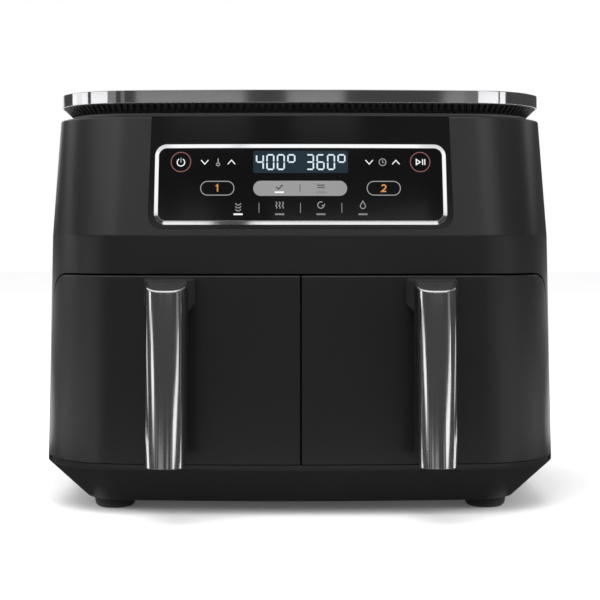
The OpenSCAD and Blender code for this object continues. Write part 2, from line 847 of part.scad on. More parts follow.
module board_tray() color("#d8d4c8") {
    box(-tray_w / 2, tray_w / 2, tray_y0, tray_y1, tray_z, tray_z + tray_t);
    on_slope() for (side = [-1, 1]) translate([side * (board_w / 2 - 14), 0, 0])
        box(
            -stay_w / 2, stay_w / 2,
            board_depth + board_t, board_depth + board_t + stay_t,
            board_low - 2.4, board_high - stay_drop
        );
    for (side = [-1, 1], x = [liner_x0 + tray_post_inset, tray_w / 2 - tray_post_inset])
        translate([side * x, tray_y1 - tray_post_inset, liner_z1])
            cylinder(h = bracket_lift, d = tray_post_d);
    for (side = [-1, 1], y = [power_y0 + 5, power_y1 - 5])
        translate([side * (power_w / 2 - 5), y, tray_z + tray_t]) cylinder(h = power_lift, d = 6);
}

module power_board() color("#7a5a2c") translate([0, 0, tray_z + tray_t + power_lift]) {
    box(-power_w / 2, power_w / 2, power_y0, power_y1, 0, board_t);
    for (i = [0, 1]) translate([relay_x + i * (relay_w + part_gap), parts_y, board_t])
        box(-relay_w / 2, relay_w / 2, -relay_d / 2, relay_d / 2, 0, relay_h);
    translate([coil_x, parts_y, board_t]) box(-coil_w / 2, coil_w / 2, -coil_w / 2, coil_w / 2, 0, coil_h);
    translate([capacitor_x, parts_y, board_t]) cylinder(h = capacitor_h, d = capacitor_d);
}

module centre_partition() color("#8f9295")
    box(-partition_t / 2, partition_t / 2, frame_y1, liner_y1, base_top, tray_z);

// ---- Cooking zones, modelled on the right and mirrored to the left ----

module at_motor(z) {
    translate([liner_mid, motor_y, z]) children();
}

module liner() color("#a9adb0") {
    difference() {
        box(liner_x0, liner_x1, liner_y0, liner_y1, liner_z0, liner_z1);
        box(
            liner_x0 + liner_t, liner_x1 - liner_t,
            liner_y0 - over, liner_y1 - liner_t,
            liner_z0 + liner_t, ceiling_z
        );
        at_motor(ceiling_z - over) cylinder(h = liner_t + 2 * over, d = shaft_d + 3);
        for (side = [-1, 1]) at_motor(ceiling_z - over)
            translate([heater_r, side * terminal_y, 0])
                cylinder(h = liner_t + 2 * over, d = heater_tube + 1);
        at_motor(ceiling_z - over)
            translate([probe_x, probe_y, 0]) cylinder(h = liner_t + 2 * over, d = probe_d + 1);
        translate([liner_mid, liner_y1, 0])
            box(-outlet_w / 2, outlet_w / 2, -2 * liner_t, over, vent_z, ceiling_z - outlet_drop);
    }
    for (side = [-1, 1])
        translate([liner_mid + side * (basket_w / 2 - basket_r - 10), 0, liner_z0 + liner_t])
            box(-4, 4, liner_y0, liner_y1 - liner_t, 0, runner_h);
}

module heater() color("#5a5654") at_motor(heater_z) {
    for (i = [0 : 2]) rotate_extrude() translate([heater_r - i * heater_pitch, 0]) circle(d = heater_tube);
    translate([heater_r - 2 * heater_pitch, 0, 0])
        rotate([0, 90, 0]) cylinder(h = 2 * heater_pitch, d = heater_tube - 1);
    for (side = [-1, 1]) translate([heater_r, side * terminal_y, 0])
        cylinder(h = heater_drop + liner_t + terminal_rise, d = heater_tube);
    for (a = heater_straps) rotate([0, 0, a])
        translate([heater_r - 1, -4, 0]) cube([1.5, 8, heater_drop]);
}

module heater_guard() color("#9a9da0") at_motor(guard_z) {
    linear_extrude(guard_t) difference() {
        polygon(round_rect(guard_w, guard_w, 12));
        for (i = [-guard_n : guard_n], j = [-guard_n : guard_n])
            translate([i * (guard_hole + 4), j * (guard_hole + 4)]) circle(d = guard_hole, $fn = 24);
    }
    for (i = [-1, 1], j = [-1, 1])
        translate([i * (guard_w / 2 - 6), j * (guard_w / 2 - 6), 0]) cylinder(h = guard_drop, d = 4);
}

module fan() color("#8a8d90") at_motor(fan_z0) difference() {
    union() {
        cylinder(h = fan_h, d = hub_d);
        translate([0, 0, fan_h - 1]) cylinder(h = 1, d = fan_d);
        for (a = [0 : 45 : 315]) rotate([0, 0, a])
            translate([hub_d / 2 - 2, -blade_t / 2, 0]) cube([(fan_d - hub_d) / 2, blade_t, fan_h - 0.5]);
    }
    translate([0, 0, -over]) cylinder(h = fan_h + 2 * over, d = shaft_d);
}

module cooling_fan() color("#3a3a3c") at_motor(cooler_z0) difference() {
    union() {
        cylinder(h = cooler_h, d = hub_d);
        cylinder(h = 1, d = cooler_d);
        for (a = [0 : 30 : 330]) rotate([0, 0, a])
            translate([hub_d / 2 - 2, -blade_t / 2, 0.5])
                cube([(cooler_d - hub_d) / 2, blade_t, cooler_h - 0.5]);
    }
    translate([0, 0, -over]) cylinder(h = cooler_h + 2 * over, d = shaft_d);
}

module motor_shaft() color("#c0c0c0") at_motor(shaft_z0) cylinder(h = shaft_z1 - shaft_z0, d = shaft_d);

module motor() color("#6b6e72") at_motor(motor_z0) difference() {
    union() {
        cylinder(h = motor_h, d = motor_d);
        translate([0, 0, motor_h]) cylinder(h = bearing_h, d = shaft_d + 16);
        translate([motor_d / 2 - block_out, -block_w / 2, block_out / 2])
            cube([2 * block_out, block_w, motor_h - block_out]);
    }
    translate([0, 0, -over])
        cylinder(h = motor_h + bearing_h + 2 * over, d = shaft_d + 2 * shaft_clear);
}

module motor_bracket() color("#9a9da0") at_motor(bracket_z) {
    linear_extrude(bracket_t) difference() {
        polygon(round_rect(bracket_w, bracket_w, 8));
        circle(d = shaft_d + 8);
    }
    for (i = [-1, 1], j = [-1, 1])
        translate([i * (bracket_w / 2 - 6), j * (bracket_w / 2 - 6), -bracket_lift])
            cylinder(h = bracket_lift, d = 8);
}

module probe() color("#c8c8c8") at_motor(liner_z1) translate([probe_x, probe_y, 0]) {
    cylinder(h = 3, d = probe_d + 8);
    translate([0, 0, -liner_t - guard_drop + 2]) cylinder(h = guard_drop + liner_t, d = probe_d);
}

module reed_switch() color("#c9b37a")
    translate([liner_mid, magnet_y, header_z + wall]) box(-11, 11, -4, 4, 0, 7);

module magnet() color("#55585c")
    translate([liner_mid, magnet_y, drawer_z1 - wall]) box(-6, 6, -4, 4, -6, 0);

// ---- Drawers ----

module drawer_front() color("#2b2b2d") difference() {
    intersection() {
        loft([ring(base_top), ring(crease_z)]);
        side_slab(drawer_back_y, drawer_z0, drawer_z1, drawer_r);
        box(seam / 2, far, -far, far, 0, crease_z);
    }
    intersection() {
        loft([ring(base_top, wall), ring(crease_z, wall)]);
        union() {
            side_slab(drawer_back_y - backing_t, drawer_z0 + wall, drawer_z1 - wall, drawer_r - wall);
            box(
                0, far,
                drawer_back_y - 2 * backing_t, drawer_back_y + over,
                drawer_z0 + wall, drawer_z1 - drawer_r
            );
        }
        box(seam / 2 + wall, far, -far, far, 0, crease_z);
    }
    at_handle_screws() translate([0, 0, -wall]) cylinder(h = 4 * wall, d = screw_d + fit);
}

module drawer_backing() color("#3a3a3c") intersection() {
    loft([ring(base_top, wall + fit), ring(crease_z, wall + fit)]);
    box(
        seam / 2 + wall + fit, far,
        drawer_back_y - backing_t, drawer_back_y,
        drawer_z0 + wall + fit, drawer_z1 - drawer_r - fit
    );
}

function basket_ring(z, cut, h) =
    let (drop = basket_taper * (basket_z1 - z) / basket_h, inset = cut + drop)
    [for (p = round_rect(basket_w - 2 * inset, basket_d - 2 * inset, basket_r - cut))
        [p.x + liner_mid, p.y + basket_mid_y, h]];

module basket() color("#2e2d2c") {
    difference() {
        loft([basket_ring(basket_z0, 0, basket_z0), basket_ring(basket_z1, 0, basket_z1)]);
        loft([
            basket_ring(basket_z0 + basket_t, basket_t, basket_z0 + basket_t),
            basket_ring(basket_z1, basket_t, basket_z1),
            basket_ring(basket_z1, basket_t, basket_z1 + over)
        ]);
    }
    translate([liner_mid, basket_mid_y, basket_z1 - rim_w]) linear_extrude(rim_w) difference() {
        polygon(round_rect(basket_w + 2 * rim_w, basket_d + 2 * 1, basket_r + 1));
        polygon(round_rect(basket_w - 0.6, basket_d - 0.6, basket_r - 0.3));
    }
    translate([liner_mid, 0, basket_z1 - pad_drop - pad_h])
        box(-pad_w / 2, pad_w / 2, drawer_back_y, basket_y0 + 2 * basket_t, 0, pad_h);
}

module crisper_plate() color("#4a4846") translate([liner_mid, basket_mid_y, plate_z])
    linear_extrude(plate_t) difference() {
        polygon(round_rect(plate_w, plate_d, basket_r - plate_gap));
        for (i = [-plate_nx : plate_nx], j = [-plate_ny : plate_ny])
            if (max(abs(i), abs(j)) > 1)
                translate([i * plate_pitch, j * plate_pitch]) circle(d = plate_hole, $fn = 24);
        circle(d = finger_hole);
        for (p = bumper_spots) translate(p) circle(d = bumper_neck);
    }

module plate_bumpers() color("#1c1c1c") translate([liner_mid, basket_mid_y, plate_z]) for (p = bumper_spots)
    translate(p) {
        translate([0, 0, run_gap - plate_lift]) cylinder(h = plate_lift - run_gap, d = bumper_d);
        cylinder(h = plate_t, d = bumper_neck);
        translate([0, 0, plate_t]) cylinder(h = bumper_cap, d = bumper_d - 1);
    }

// ---- Handles ----

// Plan of the grip: flat at the rear and a blunt oval toward the front
function grip_plan(cut) =
    [for (i = [0 : grip_steps])
        let (a = 180 * i / grip_steps, c = cos(a), s = sin(a), bluntness = 0.72)
        [-sign(c) * pow(abs(c), bluntness) * (handle_w / 2 - cut), -pow(s, bluntness) * (handle_d - cut)]];

function grip_y(z) = grip_y0 + (grip_y1 - grip_y0) * (z - grip_z0) / (grip_z1 - grip_z0);

// Outline of the grip at height z, cut inward, with its rear edge set back and its top falling
function grip_ring(cut, rear, z, fall) =
    [for (p = concat([[cut - handle_w / 2, rear]], grip_plan(cut), [[handle_w / 2 - cut, rear]]))
        [handle_x + p.x, grip_y(z) + p.y, z + p.y * fall]];

module grip(cut, rear, extra = 0) {
    loft([
        grip_ring(cut, rear, grip_z0 - extra, 0),
        grip_ring(cut, rear, grip_z1 + extra, tan(handle_slope))
    ]);
}

// Screw axes from the inner face of the drawer front toward the handle
module at_handle_screws() {
    for (side = [-1, 1])
        let (x = handle_x + side * handle_screw_pitch / 2)
        translate([x, front_y(screw_z) + bow_at(x, screw_z) + wall + 2 * fit, screw_z])
            rotate([90, 0, 0]) children();
}

module handle_cover() color("#c8c8cc") difference() {
    grip(0, 0.5);
    grip(cover_t, core_rear, over);
}

module handle_core() color("#1b1b1c") difference() {
    union() {
        grip(cover_t + fit / 2, core_rear);
        hull() {
            translate([handle_x, grip_y1, neck_z1 - neck_h - neck_sag])
                box(cover_t + fit - handle_w / 2, handle_w / 2 - cover_t - fit, -1.5, core_rear, 0, neck_h);
            translate([handle_x, front_y(drawer_z1), neck_z1 - neck_h])
                box(-neck_w / 2, neck_w / 2, 0, front_bow, 0, neck_h);
            translate([handle_x, grip_y1, grip_z1 - 2])
                box(cover_t + fit - handle_w / 2, handle_w / 2 - cover_t - fit, 0, core_rear, 0, 1.9);
        }
    }
    loft([ring(base_top), ring(crease_z)]);
    at_handle_screws() cylinder(h = wall + screw_bite, d = screw_d);
}

module handle_screws() color("silver") at_handle_screws() {
    translate([0, 0, -handle_head_t]) cylinder(h = handle_head_t, d = screw_head);
    cylinder(h = wall + screw_bite, d = screw_d);
}

outer_housing();
rear_cover();
base_pan();
front_frame();
foot(0);  // foot_front_left
foot(1);  // foot_front_right
foot(2);  // foot_rear_left
foot(3);  // foot_rear_right
intake_grille();
trim_band();
top_cover();
control_fascia();
panel_bezel();
touch_panel();
display_window();
display_board();
power_board();
board_tray();
centre_partition();
cord_gland();
housing_screws();
base_screws();
mirrored_left() liner();  // left_liner
mirrored_left() heater();  // left_heater
mirrored_left() heater_guard();  // left_heater_guard
mirrored_left() fan();  // left_fan
mirrored_left() motor_shaft();  // left_shaft
mirrored_left() cooling_fan();  // left_cooling_fan
mirrored_left() motor();  // left_motor
mirrored_left() motor_bracket();  // left_motor_bracket
mirrored_left() probe();  // left_probe
mirrored_left() reed_switch();  // left_reed_switch
mirrored_left() drawer_front();  // left_drawer_front
mirrored_left() drawer_backing();  // left_drawer_backing
mirrored_left() basket();  // left_basket
mirrored_left() magnet();  // left_magnet
mirrored_left() handle_core();  // left_handle_core
mirrored_left() handle_cover();  // left_handle_cover
mirrored_left() handle_screws();  // left_handle_screws
mirrored_left() crisper_plate();  // left_crisper_plate
mirrored_left() plate_bumpers();  // left_plate_bumpers
liner();  // right_liner
heater();  // right_heater
heater_guard();  // right_heater_guard
fan();  // right_fan
motor_shaft();  // right_shaft
cooling_fan();  // right_cooling_fan
motor();  // right_motor
motor_bracket();  // right_motor_bracket
probe();  // right_probe
reed_switch();  // right_reed_switch
drawer_front();  // right_drawer_front
drawer_backing();  // right_drawer_backing
basket();  // right_basket
magnet();  // right_magnet
handle_core();  // right_handle_core
handle_cover();  // right_handle_cover
handle_screws();  // right_handle_screws
crisper_plate();  // right_crisper_plate
plate_bumpers();  // right_plate_bumpers
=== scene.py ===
"""Dual drawer air fryer: visual pieces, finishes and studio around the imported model, in metres."""

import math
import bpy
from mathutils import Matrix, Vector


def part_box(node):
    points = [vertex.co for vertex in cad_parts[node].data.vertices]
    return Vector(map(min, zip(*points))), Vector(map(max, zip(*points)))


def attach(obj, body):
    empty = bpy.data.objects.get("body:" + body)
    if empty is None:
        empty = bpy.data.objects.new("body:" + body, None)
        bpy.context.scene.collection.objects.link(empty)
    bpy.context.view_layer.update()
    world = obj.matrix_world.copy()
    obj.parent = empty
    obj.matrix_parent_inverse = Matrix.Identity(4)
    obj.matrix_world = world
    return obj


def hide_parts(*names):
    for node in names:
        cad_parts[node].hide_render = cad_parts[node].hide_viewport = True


bl_info = {
    "name": "Dual drawer air fryer",
    "version": (1, 0, 0),
    "blender": (4, 5, 0),
    "location": "View3D > Sidebar > Air fryer",
    "description": "Builds the pieces, finishes and studio of a dual drawer air fryer",
    "category": "Object",
}

from bisect import bisect_left

import bmesh
import bpy
from mathutils import Matrix, Vector

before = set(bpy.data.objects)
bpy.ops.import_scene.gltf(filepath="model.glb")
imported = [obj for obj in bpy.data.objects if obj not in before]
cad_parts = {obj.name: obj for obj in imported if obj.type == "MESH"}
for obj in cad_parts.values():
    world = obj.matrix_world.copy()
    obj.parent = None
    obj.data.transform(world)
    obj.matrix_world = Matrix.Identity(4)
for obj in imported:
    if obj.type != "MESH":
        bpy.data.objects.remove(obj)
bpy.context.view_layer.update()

# ---- Sizes of the body, in millimetres, as its solids have them ----

BASE_TOP, CREASE_Z, SHOULDER_Z, BAND_Z, TOP_Z = 36.0, 210.0, 301.0, 311.0, 321.0
# Half widths and the lead of the front ahead of the axis, at the base's top, the crease and the shoulder
HALF_WIDTHS = (197.5, 194.7, 191.6)
FRONT_LEADS = (122.4, 111.4, 82.9)
CREASE_BEND = 0.6  # half height of the soft bend along the crease
BACK_Y = 168.6
CORNER_X, CORNER_Y, FRONT_BOW, REAR_CORNER = 60.0, 72.0, 7.0, 28.0
CORNER_PULL = 0.55  # share of a front corner's legs at which its curve's handles lie
WALL, FIT = 3.0, 0.2
FOOT_H, BASE_CHAMFER = 8.0, 30.0
BAND_EDGE = 1.0  # cut of the band from the shoulder outline
COVER_HALF, COVER_Z0, COVER_Z1 = 152.7, 52.0, 285.0
DRAWER_Z0, DRAWER_Z1, DRAWER_R, SEAM = 40.0, 180.4, 20.0, 1.2
HEADER_Z, FRAME_Y0, DRAWER_BACK_Y, BACKING_T = 181.6, -62.0, -62.8, 2.5
FASCIA_Z, FASCIA_HALF, FASCIA_R, FASCIA_TAPER = 215.0, 114.5, 11.0, 1.5
BEZEL_MID, BEZEL_W, BEZEL_H, BEZEL_R, BEZEL_BAR = 248.5, 220.0, 61.0, 9.0, 3.0
WINDOW_Z, WINDOW_W, WINDOW_H = 265.5, 71.4, 17.0
HANDLE_X, HANDLE_W, HANDLE_D, COVER_T = 97.7, 31.0, 22.0, 1.6
GRIP_Z0, GRIP_Z1, GRIP_Y0, GRIP_LEAN = 44.1, 176.8, -152.5, 16.0
GRIP_BLUNT = 0.72  # power of the oval in plan; 1 is an ellipse
GRIP_FALL = math.tan(math.radians(17.0))  # fall of a grip's top toward the front
CORE_INSET, CORE_BACK = 1.7, 2.6
NECK_W, NECK_FRONT_Y, NECK_REAR_Y = 38.6, -138.0, -109.4
# Heights of the neck at the grip and how much they rise toward the drawer
NECK_TOP, NECK_TOP_RISE, NECK_LOW, NECK_LOW_RISE = GRIP_Z1 - 0.1, 2.0, GRIP_Z1 - 25.0, 6.0
SIDES = (("left", -1), ("right", 1))

# ---- Places of the marks on the control panel, in millimetres ----

# Depths behind the front face; one below zero stands a little ahead of it
PRINT_DEPTH, LENS_DEPTH, DIGIT_DEPTH = -0.12, -0.2, -0.22
DIGIT_W, DIGIT_H, DIGIT_PITCH, DIGIT_LINE = 5.0, 11.0, 7.9, 1.1
READOUTS = ((-30.7, ("4", "0", "0", "deg")), (7.1, ("3", "6", "0", "deg")))
ROUND_KEY_X, ROUND_KEY_R = 90.3, 7.4
ARROW_X, ARROW_REACH = (-62.2, 61.8), 10.1
ZONE_Z, ZONE_X = 245.5, (-62.6, 62.4)
ZONE_SIZE, MODE_KEY_SIZE = (25.0, 10.4, 5.1), (70.4, 11.4, 5.6)  # width, height and corner radius
STATUS_X, STATUS_Z, MODE_Z = (-46.8, -15.8, 15.1, 46.5), 225.9, 232.8


def colour(code):
    """An sRGB hex value as linear red, green, blue and alpha."""
    out = []
    for i in (1, 3, 5):
        c = int(code[i : i + 2], 16) / 255
        out.append(c / 12.92 if c <= 0.04045 else ((c + 0.055) / 1.055) ** 2.4)
    return (*out, 1.0)


# ---- What a user would change ----


def length(name, about, value, low, high):
    """A size that a user can change, with its limits, all given in millimetres."""
    return bpy.props.FloatProperty(
        name=name, description=about, default=value * 0.001, min=low * 0.001, max=high * 0.001,
        subtype="DISTANCE", unit="LENGTH", precision=4,
    )


def tint(name, about, code):
    """A colour that a user can change."""
    return bpy.props.FloatVectorProperty(
        name=name, description=about, default=colour(code), size=4, min=0, max=1, subtype="COLOR",
    )


class FryerSizes(bpy.types.PropertyGroup):
    """Sizes that only the visual pieces have"""

    edge: length("Drawer edge radius", "Radius of the upper edge of the drawer fronts", 1.5, 0.5, 2.8)
    lip: length("Housing edge radius", "Radius of the edges where the housing is cut", 0.6, 0.2, 1.5)
    rim: length("Handle rim radius", "Radius of the rounded top of the handle covers", 1.2, 0.3, 1.4)
    toe: length("Toe strip", "Height of the dark strip under the drawer fronts", 3.6, 1, 3.7)
    rib_pitch: length("Rib pitch", "Spacing of the ribs of the intake grille", 5.3, 4, 8)
    rib_w: length("Rib width", "Width of one rib of the intake grille", 2.7, 1.5, 4)
    ink: length("Print thickness", "Thickness of the print on the control panel", 0.06, 0.03, 0.2)


class FryerColours(bpy.types.PropertyGroup):
    """Colours of the finishes"""

    body: tint("Body", "Satin plastic of the housing and drawers", "#111112")
    trim: tint("Trim", "Bright plated trim", "#c4c4c6")
    panel: tint("Panel", "Gloss control panel", "#0b0b0c")
    digits: tint("Digits", "Lit digits of the display", "#e2f1fb")
    amber: tint("Amber", "Lit zone numbers", "#d88a34")
    ring: tint("Ring", "Rings round the two round keys", "#7e3c38")


# ---- Outline of the body ----


def at_height(table, z):
    """A value from its three heights' values, straight between them and bent softly at the crease."""
    lower = (table[1] - table[0]) / (CREASE_Z - BASE_TOP)
    upper = (table[2] - table[1]) / (SHOULDER_Z - CREASE_Z)
    d = z - CREASE_Z
    if d <= -CREASE_BEND:
        return table[1] + lower * d
    if d >= CREASE_BEND:
        return table[1] + upper * d
    bend = (upper - lower) / (4 * CREASE_BEND) * (d * d + CREASE_BEND * CREASE_BEND)
    return table[1] + (lower + upper) / 2 * d + bend


def half_w(z):
    """Half width of the outline at a height."""
    return at_height(HALF_WIDTHS, z)


def front_y(z):
    """Depth of the front face at a height, at the middle."""
    return -at_height(FRONT_LEADS, z)


def panel_y(x, z):
    """Depth of the front face at a place on it."""
    return front_y(z) + FRONT_BOW * (x / (half_w(z) - CORNER_X)) ** 2


def quarter(steps):
    """Angles of a quarter turn, in radians."""
    return [math.pi / 2 * i / steps for i in range(steps + 1)]


def bezier(a, b, c, d, t):
    """A point on a cubic curve."""
    return a * (1 - t) ** 3 + b * 3 * (1 - t) ** 2 * t + c * 3 * (1 - t) * t * t + d * t**3


def half_outline(z, cut=0.0, bow=14, corner=18):
    """Right half of the outline at a height, cut inward, from the middle of the front to the rear.

    bow and corner are the numbers of steps along the bowed front and round its corner."""
    hw, fy, by = half_w(z) - cut, front_y(z) + cut, BACK_Y - cut
    cx, cy, rc = CORNER_X - cut, CORNER_Y - cut, max(REAR_CORNER - cut, 2.0)
    xs = hw - cx
    start, slope = Vector((xs, fy + FRONT_BOW)), 2 * FRONT_BOW / xs
    end = Vector((hw, start.y + cy))
    points = [Vector((xs * i / bow, fy + FRONT_BOW * (i / bow) ** 2)) for i in range(bow + 1)]
    handles = start + CORNER_PULL * cx * Vector((1, slope)), end - Vector((0, CORNER_PULL * cy))
    points += [bezier(start, *handles, end, i / corner) for i in range(1, corner + 1)]
    for a in quarter(8):
        points.append(Vector((hw - rc + rc * math.cos(a), by - rc + rc * math.sin(a))))
    return points


def ring(z, cut=0.0, height=None):
    """The whole outline at height z, cut inward and set at another height if one is given."""
    half = half_outline(z, cut)
    h = z if height is None else height
    whole = half + [Vector((-p.x, p.y)) for p in reversed(half[1:])]
    return [Vector((p.x, p.y, h)) for p in whole]


# ---- Meshes ----

SHARP_ANGLE = 34.0  # degrees between faces above which an edge shows as one


def rounded(corners, steps=4, closed=True):
    """A flat path through corners of (u, v, radius), each rounded to its radius."""
    out, n = [], len(corners)
    for i, (u, v, r) in enumerate(corners):
        p = Vector((u, v))
        if r <= 0 or (not closed and i in (0, n - 1)):
            out.append(p)
            continue
        a = (Vector(corners[i - 1][:2]) - p).normalized()
        b = (Vector(corners[(i + 1) % n][:2]) - p).normalized()
        half = a.angle(b) / 2
        reach = r / math.tan(half)
        middle = p + (a + b).normalized() * (r / math.sin(half))
        first, last = p + a * reach - middle, p + b * reach - middle
        turn = first.angle(last)
        for k in range(steps + 1):
            s = k / steps
            spoke = first * math.sin((1 - s) * turn) + last * math.sin(s * turn)
            out.append(middle + spoke / math.sin(turn))
    return out


def distances(points):
    """How far along a path each of its points lies."""
    run = [0.0]
    for a, b in zip(points, points[1:]):
        run.append(run[-1] + (b - a).length)
    return run


def along(points, run, s):
    """The place at a distance along a path, and the way the path goes there."""
    k = min(bisect_left(run, s, 1), len(run) - 1)
    a, b = points[k - 1], points[k]
    return a.lerp(b, (s - run[k - 1]) / (run[k] - run[k - 1])), (b - a).normalized()


def loft(rings, closed=False):
    """A skin through rings of equal counts; closed joins the last to the first, else both ends are capped."""
    bm = bmesh.new()
    rows = [[bm.verts.new(p) for p in r] for r in rings]
    n = len(rows[0])
    pairs = list(zip(rows, rows[1:])) + ([(rows[-1], rows[0])] if closed else [])
    for a, b in pairs:
        for i in range(n):
            j = (i + 1) % n
            bm.faces.new((a[i], a[j], b[j], b[i]))
    if not closed:
        bm.faces.new(list(reversed(rows[0])))
        bm.faces.new(rows[-1])
    bmesh.ops.recalc_face_normals(bm, faces=bm.faces)
    return bm


def body_loft(path, z=None, closed=False):
    """A loft round the body along a path of (cut, height); z fixes the height whose outline is used."""
    return loft([ring(p.y if z is None else z, p.x, p.y) for p in path], closed)


def block(x0, x1, y0, y1, z0, z1):
    """A box between two corners."""
    base = [(x0, y0), (x1, y0), (x1, y1), (x0, y1)]
    return loft([[Vector((x, y, z)) for x, y in base] for z in (z0, z1)])


def lathe(profile, steps=48):
    """A solid turned round Z from a path of (radius, height)."""
    turn = [2 * math.pi * i / steps for i in range(steps)]
    return loft([[Vector((r * math.cos(a), r * math.sin(a), h)) for a in turn] for r, h in profile])


def as_mesh(name, bm):
    """A mesh of the scene from the builder's mesh, which is freed."""
    mesh = bpy.data.meshes.new(name)
    bm.to_mesh(mesh)
    bm.free()
    return mesh


def placed(name, data):
    """A new object of the scene."""
    o = bpy.data.objects.new(name, data)
    bpy.context.scene.collection.objects.link(o)
    return o


def joined(*parts):
    """Several meshes as one."""
    whole = bmesh.new()
    for part in parts:
        mesh = as_mesh("part", part)
        whole.from_mesh(mesh)
        bpy.data.meshes.remove(mesh)
    return whole


def without(bm, tool):
    """The mesh with another solid cut from it."""
    objects = [placed("part", as_mesh("part", part)) for part in (bm, tool)]
    modifier = objects[0].modifiers.new("cut", "BOOLEAN")
    modifier.operation = "DIFFERENCE"
    modifier.solver = "EXACT"
    modifier.object = objects[1]
    shape = objects[0].evaluated_get(bpy.context.evaluated_depsgraph_get())
    out = bmesh.new()
    out.from_mesh(shape.to_mesh())
    shape.to_mesh_clear()
    for o in objects:
        mesh = o.data
        bpy.data.objects.remove(o)
        bpy.data.meshes.remove(mesh)
    bmesh.ops.remove_doubles(out, verts=out.verts, dist=0.002)
    return out


def soften(bm, width, angle=50.0):
    """Rounds the edges of a mesh where its faces meet at more than an angle."""
    sharp = [
        e for e in bm.edges if len(e.link_faces) == 2 and e.calc_face_angle(0) > math.radians(angle)
    ]
    bmesh.ops.bevel(
        bm, geom=sharp, offset=width, offset_type="OFFSET", segments=2, profile=0.5,
        affect="EDGES", clamp_overlap=True,
    )
    return bm


def mirrored(bm):
    """The same mesh on the other side of the body."""
    bmesh.ops.scale(bm, vec=Vector((-1, 1, 1)), verts=bm.verts)
    bmesh.ops.reverse_faces(bm, faces=bm.faces)
    return bm


def piece(name, bm, body, finish, nodes=()):
    """Makes an object from a mesh in millimetres, gives it its finish and lets it ride on a body."""
    bmesh.ops.scale(bm, vec=Vector((0.001,) * 3), verts=bm.verts)
    mesh = as_mesh(name, bm)
    mesh.polygons.foreach_set("use_smooth", [True] * len(mesh.polygons))
    mesh.set_sharp_from_angle(angle=math.radians(SHARP_ANGLE))
    mesh.materials.append(FINISHES[finish])
    o = placed(name, mesh)
    # Flat faces keep flat shading next to their rounded edges
    o.modifiers.new("normals", "WEIGHTED_NORMAL").keep_sharp = True
    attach(o, body)
    if nodes:
        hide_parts(*nodes)
    return o


# ---- Finishes ----

FINISHES = {}
WHITE = colour("#ffffff")


def add(tree, kind, settings=None, links=None):
    """Adds a node; lower case settings are its own, the others are sockets, and links feed sockets."""
    node = tree.nodes.new(kind)
    for key, value in (settings or {}).items():
        if isinstance(key, str) and key[0].islower():
            setattr(node, key, value)
        else:
            node.inputs[key].default_value = value
    for key, source in (links or {}).items():
        tree.links.new(source, node.inputs[key])
    return node


def shaded(base, factor):
    """A colour made darker or lighter by a factor."""
    return (*(min(c * factor, 1.0) for c in base[:3]), 1.0)


def blank(name):
    """The empty node tree of a new finish."""
    material = bpy.data.materials.new(name)
    material.use_nodes = True
    material.node_tree.nodes.clear()
    FINISHES[name] = material
    return material.node_tree


def moulded(name, base, rough, grain=0.9, relief=0.02, ior=1.5, shift=0.12, sheen=0.0):
    """Moulded plastic or rubber: an even body colour, with the fine spark-eroded texture of the tool.

    grain is the texture's spacing and relief its depth, both in millimetres, and shift the colour's drift.
    A real tool's texture is about 0.1 mm fine, so it is drawn as coarse as it needs to show."""
    tree = blank(name)
    place = add(tree, "ShaderNodeTexCoord").outputs["Object"]
    spark = add(tree, "ShaderNodeTexNoise", {"Scale": 1000 / grain, "Detail": 3.0}, {"Vector": place})
    texture = spark.outputs["Fac"]
    # Slow drift of the pigment, over about 70 mm
    cloud = add(tree, "ShaderNodeTexNoise", {"Scale": 14.0, "Detail": 2.0}, {"Vector": place})
    body = add(
        tree, "ShaderNodeMix",
        {"data_type": "RGBA", 6: shaded(base, 1 - shift), 7: shaded(base, 1 + shift)},
        {0: cloud.outputs["Fac"]},
    )
    gloss = add(
        tree, "ShaderNodeMapRange", {"To Min": rough - 0.04, "To Max": rough + 0.04}, {"Value": texture}
    )
    bump = add(tree, "ShaderNodeBump", {"Strength": 0.6, "Distance": relief * 0.001}, {"Height": texture})
    shader = add(
        tree, "ShaderNodeBsdfPrincipled", {"IOR": ior, "Sheen Weight": sheen},
        {"Base Color": body.outputs[2], "Roughness": gloss.outputs[0], "Normal": bump.outputs[0]},
    )
    add(tree, "ShaderNodeOutputMaterial", None, {"Surface": shader.outputs[0]})


def metal(name, base, rough, wave=18.0, relief=0.01, stretch=(1, 1, 1), swing=0.03, shift=0.05):
    """Bare or plated metal: a clean mirror or a drawn grain, over a faint waviness of the part below.

    wave is the spacing of the waviness or grain and relief its depth, in millimetres; stretch draws it
    out, swing is the drift of the roughness and shift that of the colour. Rolled, stamped and laminated
    grain is finer than half a millimetre, so it is drawn as coarse as it needs to show."""
    tree = blank(name)
    place = add(tree, "ShaderNodeTexCoord").outputs["Object"]
    drawn = add(tree, "ShaderNodeMapping", {"Scale": tuple(1 / s for s in stretch)}, {"Vector": place})
    texture = add(
        tree, "ShaderNodeTexNoise", {"Scale": 1000 / wave, "Detail": 2.0}, {"Vector": drawn.outputs[0]}
    )
    grain = texture.outputs["Fac"]
    body = add(
        tree, "ShaderNodeMix", {"data_type": "RGBA", 6: shaded(base, 1 - shift), 7: tuple(base)},
        {0: grain},
    )
    gloss = add(tree, "ShaderNodeMapRange", {"To Min": rough, "To Max": rough + swing}, {"Value": grain})
    bump = add(tree, "ShaderNodeBump", {"Strength": 0.5, "Distance": relief * 0.001}, {"Height": grain})
    shader = add(
        tree, "ShaderNodeBsdfPrincipled", {"Metallic": 1.0},
        {"Base Color": body.outputs[2], "Roughness": gloss.outputs[0], "Normal": bump.outputs[0]},
    )
    add(tree, "ShaderNodeOutputMaterial", None, {"Surface": shader.outputs[0]})


